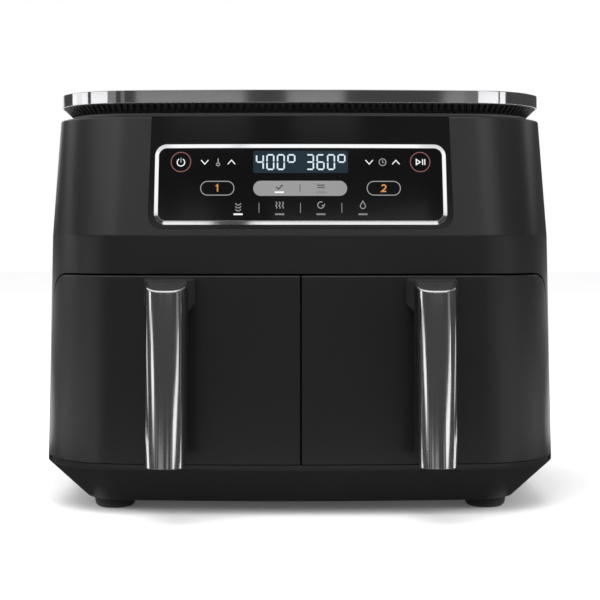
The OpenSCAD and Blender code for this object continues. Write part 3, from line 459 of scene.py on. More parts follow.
def lit(name, base, power, dim=None, scale=300.0, face="#272727", rough=0.4, ior=1.5):
    """Print, a segment or a dark window with a light behind it: an even glow, a little less in some spots.

    dim is the glow's colour in those spots, scale their number along a metre, and face the colour that
    the surface has without the light."""
    tree = blank(name)
    place = add(tree, "ShaderNodeTexCoord").outputs["Object"]
    cloud = add(tree, "ShaderNodeTexNoise", {"Scale": scale, "Detail": 1.0}, {"Vector": place})
    glow = add(
        tree, "ShaderNodeMix", {"data_type": "RGBA", 6: dim or shaded(base, 0.88), 7: tuple(base)},
        {0: cloud.outputs["Fac"]},
    )
    shader = add(
        tree, "ShaderNodeBsdfPrincipled",
        {"Base Color": colour(face), "Roughness": rough, "IOR": ior, "Emission Strength": power},
        {"Emission Color": glow.outputs[2]},
    )
    add(tree, "ShaderNodeOutputMaterial", None, {"Surface": shader.outputs[0]})


class FRYER_OT_finishes(bpy.types.Operator):
    """Makes the finishes of every piece"""

    bl_idname = "fryer.finishes"
    bl_label = "Finishes"

    def execute(self, context):
        c = context.scene.fryer_colours
        # Polypropylene, moulded satin: soft wide highlights over a charcoal body
        moulded("pp_moulded_satin", c.body, 0.29, grain=0.9, relief=0.03, ior=1.49)
        # Polypropylene, moulded matt, for the base and the lid
        moulded("pp_moulded_matt", colour("#1b1b1d"), 0.5, grain=1.2, relief=0.04, ior=1.49)
        # Polypropylene, moulded satin, for the lip under the grille, in a lighter grey than the body: a
        # painted highlight along the lip
        moulded("pp_satin_painted_highlight", colour("#444446"), 0.4, grain=1.0, relief=0.03, ior=1.49)
        # ABS, moulded matt black, for the parts in the shade
        moulded("abs_moulded_black", colour("#121213"), 0.5, grain=1.0, relief=0.03, ior=1.53)
        # ABS, moulded dark grey, for the handle cores
        moulded("abs_moulded_grey", colour("#222224"), 0.42, grain=0.9, relief=0.03, ior=1.53)
        # Acrylic, moulded gloss: clear deep black with a sharp reflection
        moulded("pmma_moulded_gloss", c.panel, 0.1, grain=40.0, relief=0.004, ior=1.49, shift=0.1)
        # Acrylic panel glass, printed behind, a little darker and sharper than the fascia
        moulded("pmma_printed_gloss", colour("#070708"), 0.08, grain=60.0, relief=0.003, ior=1.49)
        # Nickel and chromium plated ABS: a near mirror with the faint swell of moulded plastic
        metal("chromium_plated", c.trim, 0.06, wave=30.0, relief=0.02)
        # Aluminised steel sheet, rolled: a grey metal with a long soft grain
        metal("aluminised_steel_rolled", colour("#9c9ea0"), 0.35, wave=1.5, relief=0.01, stretch=(1, 30, 1))
        # Zinc plated steel, turned: pale and a little cloudy
        metal("zinc_plated_steel", colour("#b9bbbe"), 0.3, wave=3.0, relief=0.01)
        # Nickel alloy heater tube, drawn and oxidised: dull warm grey
        metal("heater_alloy_oxidised", colour("#6a645e"), 0.45, wave=4.0, relief=0.02, shift=0.25)
        # Aluminium, stamped, for the hot air fans: a soft pale shine
        metal("aluminium_stamped", colour("#a5a7aa"), 0.32, wave=2.0, relief=0.01)
        # Laminated electrical steel of the motors: fine dark layers
        metal(
            "electrical_steel_laminated", colour("#6c6f73"), 0.4, wave=1.0, relief=0.03, stretch=(30, 30, 1)
        )
        # Ceramic filled nonstick coat, sprayed on steel: dark, even and faintly orange peeled
        moulded("nonstick_sprayed", colour("#2c2b2a"), 0.33, grain=2.2, relief=0.02, ior=1.4)
        # Ferrite magnet, sintered: dark grey and dull
        moulded("ferrite_sintered", colour("#3b3c3e"), 0.6, grain=0.8, relief=0.03)
        # EPDM rubber, moulded: dead matt black
        moulded("epdm_rubber_moulded", colour("#141414"), 0.8, grain=0.8, relief=0.03, sheen=0.1)
        # Silicone rubber, moulded: matt with a faint bloom
        moulded("silicone_moulded", colour("#1c1c1d"), 0.65, grain=1.5, relief=0.01, ior=1.41, sheen=0.15)
        # Glass epoxy laminate under solder mask: a deep green with a slight gloss
        moulded("glass_epoxy_masked", colour("#1f5c3a"), 0.35, grain=0.7, relief=0.02, shift=0.2)
        # PBT, moulded ivory, for the board tray and the reed switches
        moulded("pbt_moulded_ivory", colour("#d8d4c8"), 0.5, grain=1.0, relief=0.02, ior=1.55, shift=0.04)
        # Smoked display window: a dark blue glow of the light behind it under gloss, in drifts of 17 mm
        lit(
            "display_window_smoked", colour("#1b2a34"), 1.0, dim=colour("#161f26"), scale=60.0,
            face="#0c1216", rough=0.1, ior=1.49,
        )
        # Digit segments and screen print lit from behind: an even glow in white, grey, amber and red, a
        # little less in spots 3 mm apart
        lit("segment_white", c.digits, 1.0)
        lit("print_white_lit", colour("#f4f6f6"), 1.0)
        lit("print_grey_lit", colour("#a4a6a6"), 0.8)
        lit("print_amber_lit", c.amber, 1.0)
        lit("print_ring_lit", c.ring, 1.0)
        # Screen print in grey and black ink, matt
        moulded("ink_grey", colour("#6f6f70"), 0.6, grain=3.0, relief=0.002, shift=0.03)
        moulded("ink_dim", colour("#5e5f60"), 0.6, grain=3.0, relief=0.002, shift=0.03)
        moulded("ink_black", colour("#2a2a2a"), 0.6, grain=3.0, relief=0.002, shift=0.05)
        return {"FINISHED"}


# ---- Housing ----


def side_slab(y1, z0, z1, r):
    """The room ahead of y1 between two heights, with a round upper rear corner, right across the body."""
    far = 400
    profile = [(-far, z0), (y1, z0)]
    profile += [(y1 - r + r * math.cos(a), z1 - r + r * math.sin(a)) for a in quarter(12)]
    profile.append((-far, z1))
    return loft([[Vector((x, y, z)) for y, z in profile] for x in (-far, far)])


def fascia_block(grow, front, back, top):
    """The fascia's plate, grown all round, from one depth behind the front face to another."""
    r, half = FASCIA_R + grow, FASCIA_HALF + grow
    turn = quarter(10)
    xs = [half - r + r * math.sin(a) for a in turn]
    lows = [FASCIA_Z - grow + r - r * math.cos(a) for a in turn]
    inner = [(half - r) * i / 16 for i in range(16)]
    columns = [(x, FASCIA_Z - grow) for x in inner] + list(zip(xs, lows))
    columns = [(-x, low) for x, low in reversed(columns[1:])] + columns
    rows, grid = 14, []
    for x, low in columns:
        column = []
        for j in range(rows + 1):
            z = low + (top - low) * j / rows
            lean = 1 - FASCIA_TAPER / FASCIA_HALF * (z - FASCIA_Z) / (SHOULDER_Z - CREASE_Z)
            column.append((x * lean, z))
        grid.append(column)
    return plate(grid, front, back)


def plate(grid, front, back, closed=False):
    """A plate on the front face, from one depth to another, over columns of places (x, height).

    closed joins its last column to its first."""
    bm = bmesh.new()
    a, b = [
        [[bm.verts.new((x, panel_y(x, z) + depth, z)) for x, z in column] for column in grid]
        for depth in (front, back)
    ]
    n, m = len(a), len(a[0])
    for i in range(n if closed else n - 1):
        k = (i + 1) % n
        for j in range(m - 1):
            bm.faces.new((a[i][j], a[k][j], a[k][j + 1], a[i][j + 1]))
            bm.faces.new((b[i][j + 1], b[k][j + 1], b[k][j], b[i][j]))
        bm.faces.new((a[i][0], b[i][0], b[k][0], a[k][0]))
        bm.faces.new((a[k][m - 1], b[k][m - 1], b[i][m - 1], a[i][m - 1]))
    for i in () if closed else (0, n - 1):
        for j in range(m - 1):
            bm.faces.new((a[i][j], a[i][j + 1], b[i][j + 1], b[i][j]))
    bmesh.ops.recalc_face_normals(bm, faces=bm.faces)
    return bm


class FRYER_OT_housing(bpy.types.Operator):
    """Builds the outer housing, with the drawer bay, the fascia opening and the rear opening cut in it"""

    bl_idname = "fryer.housing"
    bl_label = "Housing"

    def execute(self, context):
        corners = rounded([
            (0, BASE_TOP, 0.5), (0, SHOULDER_Z, 1.4), (24, SHOULDER_Z, 0.6), (24, SHOULDER_Z - WALL, 0.5),
            (WALL, SHOULDER_Z - WALL, 1.5), (WALL, BASE_TOP, 0.5),
        ], steps=5)
        # Rows of the wall between base and shoulder, close together round the crease
        heights = [70, 110, 150, 180, 205]
        heights += [CREASE_Z + rise for rise in (-1.0, -0.6, -0.3, 0, 0.3, 0.6, 1.0)]
        heights += [215, 240, 270]
        path = []
        for a, b in zip(corners, corners[1:] + corners[:1]):
            path.append(a)
            if abs(a.y - b.y) > 100:
                between = heights if b.y > a.y else heights[::-1]
                path += [Vector((a.x, h)) for h in between]
        shell = body_loft(path, closed=True)
        shell = without(shell, side_slab(FRAME_Y0, 0, HEADER_Z, DRAWER_R + SEAM))
        shell = without(shell, fascia_block(FIT, -6, WALL + 0.4, SHOULDER_Z + 4))
        opening = block(
            -COVER_HALF - FIT, COVER_HALF + FIT, BACK_Y - 8, BACK_Y + 2, COVER_Z0 - FIT, COVER_Z1 + FIT
        )
        shell = soften(without(shell, opening), context.scene.fryer_sizes.lip * 1000)
        # A ledge behind the fascia, which closes the seam round it
        ledge = fascia_block(2.5, WALL - 0.02, WALL + 1.2, SHOULDER_Z - WALL)
        ledge = without(ledge, fascia_block(-3, 0, WALL + 3, SHOULDER_Z - WALL - 4))
        piece(
            "housing_shell", joined(shell, ledge), "housing", "pp_moulded_satin",
            ["outer_housing"],
        )
        return {"FINISHED"}


class FRYER_OT_base(bpy.types.Operator):
    """Builds the chamfered base and the strip above it"""

    bl_idname = "fryer.base"
    bl_label = "Base"

    def execute(self, context):
        inner = 1.3 * WALL
        floor_cut = 60.0  # cut at which the floor of the pan closes with a flat cap
        corners = [
            (floor_cut, FOOT_H, 0), (BASE_CHAMFER, FOOT_H, 1.0), (0, BASE_TOP, 0.2), (inner, BASE_TOP, 0.4),
            (inner, BASE_TOP - 1.5, 0.6), (BASE_CHAMFER + 2, FOOT_H + WALL, 2.0),
            (floor_cut, FOOT_H + WALL, 0),
        ]
        pan = body_loft(rounded(corners, steps=5, closed=False), z=BASE_TOP)
        piece("base_shell", pan, "housing", "pp_moulded_matt", ["base_pan"])
        # The strip runs round the front and the drawers' sides only
        toe = BASE_TOP + context.scene.fryer_sizes.toe * 1000
        face = rounded([(2, BASE_TOP, 0), (2, toe, 0.3), (5, toe, 0.3), (5, BASE_TOP, 0)])
        strip = body_loft(face, z=BASE_TOP, closed=True)
        strip = without(strip, block(-300, 300, FRAME_Y0 - 1, 300, 0, 60))
        piece("toe_strip", strip, "housing", "pp_moulded_satin")
        return {"FINISHED"}


class FRYER_OT_feet(bpy.types.Operator):
    """Builds the four feet"""

    bl_idname = "fryer.feet"
    bl_label = "Feet"

    def execute(self, context):
        # A foot's section: the screw's recess, the dimpled sole and the domed side
        sole = rounded([(5.4, 0, 0), (14.9, 0, 4.5), (16, FOOT_H, 0.3), (5, FOOT_H, 0)], closed=False)
        profile = [(4.6, 4.2), (4.6, 0.6), (5.2, 0.0), *((p.x, p.y) for p in sole)]
        for end in ("front", "rear"):
            for side, _ in SIDES:
                node = f"foot_{end}_{side}"
                low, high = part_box(node)
                middle = (low + high) / 2 * 1000
                foot = lathe(profile)
                bmesh.ops.translate(foot, vec=Vector((middle.x, middle.y, 0)), verts=foot.verts)
                piece(f"{node}_pad", foot, "housing", "epdm_rubber_moulded", [node])
        return {"FINISHED"}


class FRYER_OT_grille(bpy.types.Operator):
    """Builds the intake grille under the lid, with its neck and lip"""

    bl_idname = "fryer.grille"
    bl_label = "Intake grille"

    def execute(self, context):
        size = context.scene.fryer_sizes
        lip_top = SHOULDER_Z + 3
        lip = rounded([
            (12.8, SHOULDER_Z, 0), (9.8, SHOULDER_Z, 0.3), (9.8, lip_top, 0.6), (12.8, lip_top, 0),
        ], steps=4)
        # The lip's lighter grey than the body is a painted highlight along it
        piece(
            "neck_lip", body_loft(lip, z=SHOULDER_Z, closed=True), "housing", "pp_satin_painted_highlight",
        )
        neck = rounded([
            (13, SHOULDER_Z + FIT, 0), (10.2, SHOULDER_Z + FIT, 0), (10.2, lip_top, 0),
            (9.4, lip_top + 0.4, 0), (9.6, BAND_Z - 0.6, 0.3), (2.2, BAND_Z - 0.6, 0.2),
            (1.9, BAND_Z, 0.1), (13, BAND_Z, 0.3),
        ], steps=3)
        wall = body_loft(neck, z=SHOULDER_Z, closed=True)
        # Ribs at equal steps along the outline, each in section (cut inward, height over the shoulder)
        section = [(9.9, 3.2), (8.8, 3.4), (2.2, 9.8), (9.9, 9.8)]
        half_rib = size.rib_w * 1000 / 2
        ribs = []
        outer = ring(SHOULDER_Z, 0, 0)
        around = outer + outer[:1]
        run = distances(around)
        count = round(run[-1] / (size.rib_pitch * 1000))
        for i in range(count):
            p, way = along(around, run, (i + 0.5) * run[-1] / count)
            inward = Vector((-way.y, way.x, 0))
            ribs.append(loft([
                [p + way * t + inward * u + Vector((0, 0, SHOULDER_Z + v)) for u, v in section]
                for t in (-half_rib, half_rib)
            ]))
        piece(
            "intake_ribs", joined(wall, *ribs), "housing", "abs_moulded_black",
            ["intake_grille"],
        )
        return {"FINISHED"}


class FRYER_OT_band(bpy.types.Operator):
    """Builds the bright band round the lid"""

    bl_idname = "fryer.band"
    bl_label = "Band"

    def execute(self, context):
        band_back = BAND_EDGE + 3
        band = rounded([
            (band_back, BAND_Z, 0.2), (BAND_EDGE, BAND_Z, 0.5), (BAND_EDGE, TOP_Z, 0.6),
            (band_back, TOP_Z, 0.4),
        ], steps=6)
        piece(
            "top_band", body_loft(band, z=SHOULDER_Z, closed=True), "housing", "chromium_plated",
            ["trim_band"],
        )
        return {"FINISHED"}


class FRYER_OT_lid(bpy.types.Operator):
    """Builds the lid"""

    bl_idname = "fryer.lid"
    bl_label = "Lid"

    def execute(self, context):
        # The lid's face lies a little under the band, with a shallow groove near its edge
        face, groove = TOP_Z - 1.5, TOP_Z - 2.3
        lid = rounded([
            (13, BAND_Z, 0), (4.2, BAND_Z, 0.3), (4.2, TOP_Z - 2.2, 1.0), (8.2, face, 1.5), (18, face, 0.8),
            (18.8, groove, 0.4), (20.2, groove, 0.4), (21, face, 0.8), (40, face, 0),
        ], steps=3, closed=False)
        piece(
            "lid", body_loft(lid, z=SHOULDER_Z), "housing", "pp_moulded_matt",
            ["top_cover"],
        )
        return {"FINISHED"}


# ---- Control panel ----

PANEL_STEP = 4.0  # longest stretch that a panel piece spans flat on the bowed face


def round_frame(w, h, r, inset, steps=12):
    """Points round a rectangle with round corners, centred, cut inward."""
    w, h, r = w / 2 - inset, h / 2 - inset, max(r - inset, 0.3)
    out = []
    for q, (sx, sz) in enumerate(((1, 1), (-1, 1), (-1, -1), (1, -1))):
        for i in range(steps + 1):
            a = math.pi / 2 * (q + i / steps)
            out.append(Vector((sx * (w - r) + r * math.cos(a), sz * (h - r) + r * math.sin(a))))
    return out


def finer(points, step=PANEL_STEP, closed=True):
    """The same path with no stretch longer than step."""
    out = []
    following = points[1:] + points[:1] if closed else points[1:]
    for a, b in zip(points, following):
        n = max(1, math.ceil((b - a).length / step))
        out += [a.lerp(b, i / n) for i in range(n)]
    return out if closed else out + [points[-1]]


def bar_frame(w, h, r, z, bar, profile):
    """A bar swept round a rectangle on the front face; profile holds (share of the bar's width, depth)."""
    outer = finer(round_frame(w, h, r, 0))
    inner = finer(round_frame(w, h, r, bar))
    rings = []
    for share, depth in profile:
        row = []
        for a, b in zip(outer, inner, strict=True):
            p = a.lerp(b, share)
            row.append(Vector((p.x, panel_y(p.x, z + p.y) + depth, z + p.y)))
        rings.append(row)
    return loft(rings, closed=True)


def column_plate(w, h, r, x, z, front, back):
    """A plate with round corners on the front face, from one depth to another."""
    n = max(1, math.ceil((w / 2 - r) / PANEL_STEP))
    columns = [((w / 2 - r) * i / n, h / 2) for i in range(n)]
    columns += [(w / 2 - r + r * math.sin(a), h / 2 - r + r * math.cos(a)) for a in quarter(10)]
    columns = [(-u, v) for u, v in reversed(columns[1:])] + columns
    rows = max(2, math.ceil(h / PANEL_STEP))
    shares = [2 * j / rows - 1 for j in range(rows + 1)]
    bm = plate([[(x + u, z + v * share) for share in shares] for u, v in columns], front, back)
    bmesh.ops.dissolve_degenerate(bm, dist=0.0001, edges=bm.edges)
    return bm


def stroke(points, width, depth, thick, closed=False):
    """A printed line on the front face, through points in the plane of the panel."""
    points = finer([Vector(p) for p in points], 3.0, closed)
    n, grid = len(points), []
    for i, p in enumerate(points):
        before = points[i - 1] if closed or i > 0 else None
        after = points[(i + 1) % n] if closed or i < n - 1 else None
        d1 = (p - before).normalized() if before is not None else (after - p).normalized()
        d2 = (after - p).normalized() if after is not None else d1
        mid = (d1 + d2).normalized()
        # A mitre, held back where the line turns sharply
        side = Vector((-mid.y, mid.x)) * (width / 2 / max(mid.dot(d1), 0.35))
        grid.append((p - side, p + side))
    return plate(grid, depth - thick, depth, closed)


def arc(x, z, r, start, end, steps=32):
    """Points on a circle from one angle to another, in degrees."""
    turn = [math.radians(start + (end - start) * i / steps) for i in range(steps + 1)]
    return [(x + r * math.cos(a), z + r * math.sin(a)) for a in turn]


SEGMENTS = {  # lit strokes of each sign, as lines between corners of its two stacked squares
    "0": "abcdef", "1": "bc", "2": "abged", "3": "abgcd", "4": "fgbc", "6": "afgedc", "deg": "abgf",
}
STROKES = {
    "a": ((-1, 2), (1, 2)), "b": ((1, 2), (1, 0)), "c": ((1, 0), (1, -2)), "d": ((-1, -2), (1, -2)),
    "e": ((-1, 0), (-1, -2)), "f": ((-1, 2), (-1, 0)), "g": ((-1, 0), (1, 0)),
}


class FRYER_OT_fascia(bpy.types.Operator):
    """Builds the gloss fascia"""

    bl_idname = "fryer.fascia"
    bl_label = "Fascia"

    def execute(self, context):
        fascia = fascia_block(0, 0, WALL, SHOULDER_Z - FIT)
        piece(
            "fascia_gloss", fascia, "housing", "pmma_moulded_gloss", ["control_fascia"]
        )
        return {"FINISHED"}


class FRYER_OT_frame(bpy.types.Operator):
    """Builds the bright frame round the touch panel"""

    bl_idname = "fryer.frame"
    bl_label = "Panel frame"

    def execute(self, context):
        # It stands out and tilts toward its inner edge
        tilt = rounded([(0, 0.6, 0), (0, -0.1, 0.12), (BEZEL_BAR, -0.62, 0.12), (BEZEL_BAR, 0.6, 0)], steps=3)
        profile = [(p.x / BEZEL_BAR, p.y) for p in tilt]
        bezel = bar_frame(BEZEL_W, BEZEL_H, BEZEL_R, BEZEL_MID, BEZEL_BAR, profile)
        piece("panel_frame", bezel, "housing", "chromium_plated", ["panel_bezel"])
        return {"FINISHED"}


class FRYER_OT_glass(bpy.types.Operator):
    """Builds the touch panel and the display window"""

    bl_idname = "fryer.glass"
    bl_label = "Touch panel and window"

    def execute(self, context):
        inner_w, inner_h = BEZEL_W - 2 * BEZEL_BAR - FIT, BEZEL_H - 2 * BEZEL_BAR - FIT
        glass = column_plate(inner_w, inner_h, BEZEL_R - BEZEL_BAR, 0, BEZEL_MID, PRINT_DEPTH, 1.0)
        piece("touch_glass", glass, "housing", "pmma_printed_gloss", ["touch_panel"])
        window = column_plate(WINDOW_W, WINDOW_H, 1.6, 0, WINDOW_Z, LENS_DEPTH, 0.8)
        piece("window_lens", window, "housing", "display_window_smoked", ["display_window"])
        return {"FINISHED"}


class FRYER_OT_marks(bpy.types.Operator):
    """Builds the lit digits and the printed marks of the control panel"""

    bl_idname = "fryer.marks"
    bl_label = "Digits and marks"

    def execute(self, context):
        ink = context.scene.fryer_sizes.ink * 1000

        def line(points, width, closed=False, depth=PRINT_DEPTH):
            """A stroke of ink."""
            return stroke(points, width, depth, ink, closed)

        def circle(x, z, r, width, steps):
            """A closed round stroke."""
            return line(arc(x, z, r, 0, 360, steps)[:-1], width, closed=True)

        digits = []
        for start, signs in READOUTS:
            for i, name in enumerate(signs):
                x, z = start + DIGIT_PITCH * i, WINDOW_Z - 0.2
                for s in SEGMENTS[name]:
                    ends = [Vector((x + u * DIGIT_W / 2, z + v * DIGIT_H / 4)) for u, v in STROKES[s]]
                    gap = (ends[1] - ends[0]).normalized() * DIGIT_LINE * 0.42
                    digits.append(line([ends[0] + gap, ends[1] - gap], DIGIT_LINE, depth=DIGIT_DEPTH))
        piece("display_digits", joined(*digits), "housing", "segment_white")

        z = WINDOW_Z
        rings = [circle(x, z, ROUND_KEY_R, 0.7, 48) for x in (-ROUND_KEY_X, ROUND_KEY_X)]
        # Power sign on the left round key, play and pause on the right one
        white = [line(arc(-ROUND_KEY_X, z - 0.3, 2.85, 120, 420, 28), 0.75)]
        grey = [line([(-ROUND_KEY_X, z + 3.2), (-ROUND_KEY_X, z - 0.6)], 0.75)]
        white.append(line([(87.4, z + 2.0), (87.4, z - 2.0), (90.4, z)], 0.8, closed=True))
        for x in (92.2, 93.9):
            white.append(line([(x, z + 2.2), (x, z - 2.2)], 0.8))
        for x in ARROW_X:
            for dx, up in ((-ARROW_REACH, -1), (ARROW_REACH, 1)):
                tip, foot = z - 0.2 + up * 1.5, z - 0.2 - up * 1.6
                white.append(line([(x + dx - 2.8, foot), (x + dx, tip), (x + dx + 2.8, foot)], 0.75))
        # A thermometer between the left arrows and a clock between the right ones
        left, right = ARROW_X
        grey.append(circle(left, z - 1.9, 1.15, 0.7, 20))
        grey.append(line([(left, z - 0.8), (left, z + 2.6)], 0.8))
        grey.append(circle(right, z - 0.2, 2.6, 0.6, 28))
        grey.append(line([(right, z + 1.5), (right, z - 0.3), (right + 1.3, z - 0.9)], 0.55))

        z = ZONE_Z
        one, two = ZONE_X
        for x in ZONE_X:
            outline = [(x + p.x, z + p.y) for p in round_frame(*ZONE_SIZE, 0)]
            grey.append(line(outline, 0.65, closed=True))
        hook = arc(two, z + 1.0, 1.55, 160, -35, 12)
        amber = [
            line([(one - 1.2, z + 1.6), (one + 0.2, z + 2.5), (one + 0.2, z - 2.6)], 1.0),
            line([*hook, (two - 1.5, z - 2.4), (two + 1.8, z - 2.4)], 1.0),
        ]
        high = PRINT_DEPTH - ink
        key = column_plate(*MODE_KEY_SIZE, -0.4, z - 0.1, high, PRINT_DEPTH)
        piece("mode_key", key, "housing", "ink_grey")
        # On the grey key: a divider, a tick on its left half, two equal bars on its right half, status bars
        black = [line([(-0.6, z + 2.9), (-0.6, z - 2.9)], 0.5, depth=high)]
        black.append(line([(-18.6, z + 0.9), (-16.6, z - 0.7), (-13.6, z + 2.6)], 0.9, depth=high))
        for dz in (0.5, 2.3):
            black.append(line([(12.4, z + dz), (18.0, z + dz)], 0.8, depth=high))
        white.append(line([(-19.6, z - 3.1), (-12.6, z - 3.1)], 1.3, depth=high))
        dim = [line([(11.8, z - 3.1), (18.6, z - 3.1)], 1.2, depth=high)]

        # The status bars of the four modes, the first one lit, with dividers between the modes
        for x in STATUS_X:
            marks = white if x == STATUS_X[0] else dim
            marks.append(line([(x - 3.4, STATUS_Z), (x + 3.4, STATUS_Z)], 1.3))
            if x != STATUS_X[-1]:
                dim.append(line([(x + 15.6, MODE_Z + 1.6), (x + 15.6, STATUS_Z + 1.1)], 0.6))
        # Marks of the four modes: moving air, heat, turning round again and a drop
        z = MODE_Z
        air, heat, again, drop = STATUS_X
        for k in range(3):
            grey.append(line(arc(air, z - 2.2 + 2.2 * k, 2.2, 200, 340, 10), 0.6))
            x = heat + 2.4 * (k - 1)
            grey.append(line([(x + 0.5 * math.sin(i * 1.05), z - 2.6 + 0.5 * i) for i in range(11)], 0.6))
        grey.append(line(arc(again, z, 2.4, 60, 350, 20), 0.65))
        grey.append(line([(again + 2.8, z + 1.0), (again + 2.1, z - 0.8), (again + 0.5, z - 0.2)], 0.6))
        grey.append(line([(drop, z + 3.0), *arc(drop, z - 0.8, 1.9, 25, -205, 16)], 0.6, closed=True))
        piece("key_rings", joined(*rings), "housing", "print_ring_lit")
        piece("white_marks", joined(*white), "housing", "print_white_lit")
        piece("grey_marks", joined(*grey), "housing", "print_grey_lit")
        piece("dim_marks", joined(*dim), "housing", "ink_dim")
        piece("zone_numbers", joined(*amber), "housing", "print_amber_lit")
        piece("dark_marks", joined(*black), "housing", "ink_black")
        return {"FINISHED"}


# ---- Drawers ----


def drawer_block(inset, rear, top, r, edge=0.0):
    """The right drawer's block, between the seam, the outline, a rear plane and its heights.

    inset shrinks it from the seam, the outline and below, r rounds its upper rear corner and edge the
    upper edge of its face."""
    z0, x0, columns = DRAWER_Z0 + inset, SEAM / 2 + inset, 52
    heights = [z0 + (top - r - z0) * i / 8 for i in range(9)]
    if r > 0:
        heights += [top - r + r * math.sin(a) for a in quarter(9)[1:]]
    if edge > 0:
        heights = [h for h in heights if h < top - 1.1 * edge]
        heights += [top - edge + edge * math.sin(a) for a in quarter(6)]
    bm, rows, spine = bmesh.new(), [], []
    for z in heights:
        up = max(z - (top - r), 0)
        limit = rear - r + math.sqrt(max(r * r - up * up, 0)) if r > 0 else rear
        over = max(z - (top - edge), 0)
        cut = inset + edge - math.sqrt(max(edge * edge - over * over, 0))
        kept = [Vector((x0, panel_y(x0, z) + cut))]
        for p in half_outline(z, cut, bow=30, corner=40):
            if p.x <= x0:
                continue
            if p.y > limit:
                a = kept[-1]
                p = a.lerp(p, (limit - a.y) / (p.y - a.y))
            kept.append(p)
            if p.y >= limit - 1e-6:
                break
        run = distances(kept)
        places = [along(kept, run, run[-1] * i / columns)[0] for i in range(columns + 1)]
        rows.append([bm.verts.new((p.x, p.y, z)) for p in places])
        spine.append(bm.verts.new((x0, limit, z)))
    for a, b in zip(rows, rows[1:]):
        for i in range(columns):
            bm.faces.new((a[i], a[i + 1], b[i + 1], b[i]))
    for j in range(len(rows) - 1):
        bm.faces.new((rows[j][-1], spine[j], spine[j + 1], rows[j + 1][-1]))
    bm.faces.new([*rows[-1], spine[-1]])
    bm.faces.new([spine[0], *reversed(rows[0])])
    bm.faces.new([*(row[0] for row in rows), *reversed(spine)])
    bmesh.ops.recalc_face_normals(bm, faces=bm.faces)
    return bm


class FRYER_OT_drawer_fronts(bpy.types.Operator):
    """Builds the two drawer fronts, hollow behind, with a round upper rear corner"""

    bl_idname = "fryer.drawer_fronts"
    bl_label = "Drawer fronts"

    def execute(self, context):
        edge = context.scene.fryer_sizes.edge * 1000
        for side, sign in SIDES:
            front = drawer_block(0, DRAWER_BACK_Y, DRAWER_Z1, DRAWER_R, edge)
            front = soften(front, edge / 4, angle=45)
            # The room behind the front's wall, and its mouth for the backing plate
            room = drawer_block(WALL, DRAWER_BACK_Y - BACKING_T, DRAWER_Z1 - WALL, DRAWER_R - WALL)
            front = without(front, room)
            front = without(front, drawer_block(WALL, DRAWER_BACK_Y + 2, DRAWER_Z1 - DRAWER_R, 0))
            if sign < 0:
                mirrored(front)
            piece(
                f"{side}_drawer_skin", front, f"{side}_drawer", "pp_moulded_satin",
                [f"{side}_drawer_front"],
            )
        return {"FINISHED"}


def grip_plan(cut):
    """Plan of a grip, a blunt oval toward the front, cut inward."""
    out, steps = [], 48
    for i in range(steps + 1):
        a = math.pi * i / steps
        c, s = math.cos(a), math.sin(a)
        u = -math.copysign(abs(c) ** GRIP_BLUNT, c) * (HANDLE_W / 2 - cut)
        out.append(Vector((u, -abs(s) ** GRIP_BLUNT * (HANDLE_D - cut))))
    return out


def grip_row(plan, s, drop=0.0):
    """The plan of a grip at a share of its height; it leans out below, and its top falls toward the front."""
    row = []
    for p in plan:
        z = GRIP_Z0 + s * (GRIP_Z1 + p.y * GRIP_FALL - GRIP_Z0) - drop
        row.append(Vector((HANDLE_X + p.x, GRIP_Y0 + GRIP_LEAN * s + p.y, z)))
    return row


def cover_plan(cut):
    """Plan of the bright cover, an open U, with its outer side cut inward."""
    outside, inside, back = HANDLE_W / 2 - cut, HANDLE_W / 2 - COVER_T, 0.5
    plan = [Vector((-outside, back)), *grip_plan(cut), Vector((outside, back))]
    return plan + [Vector((inside, back)), *reversed(grip_plan(COVER_T)), Vector((-inside, back))]


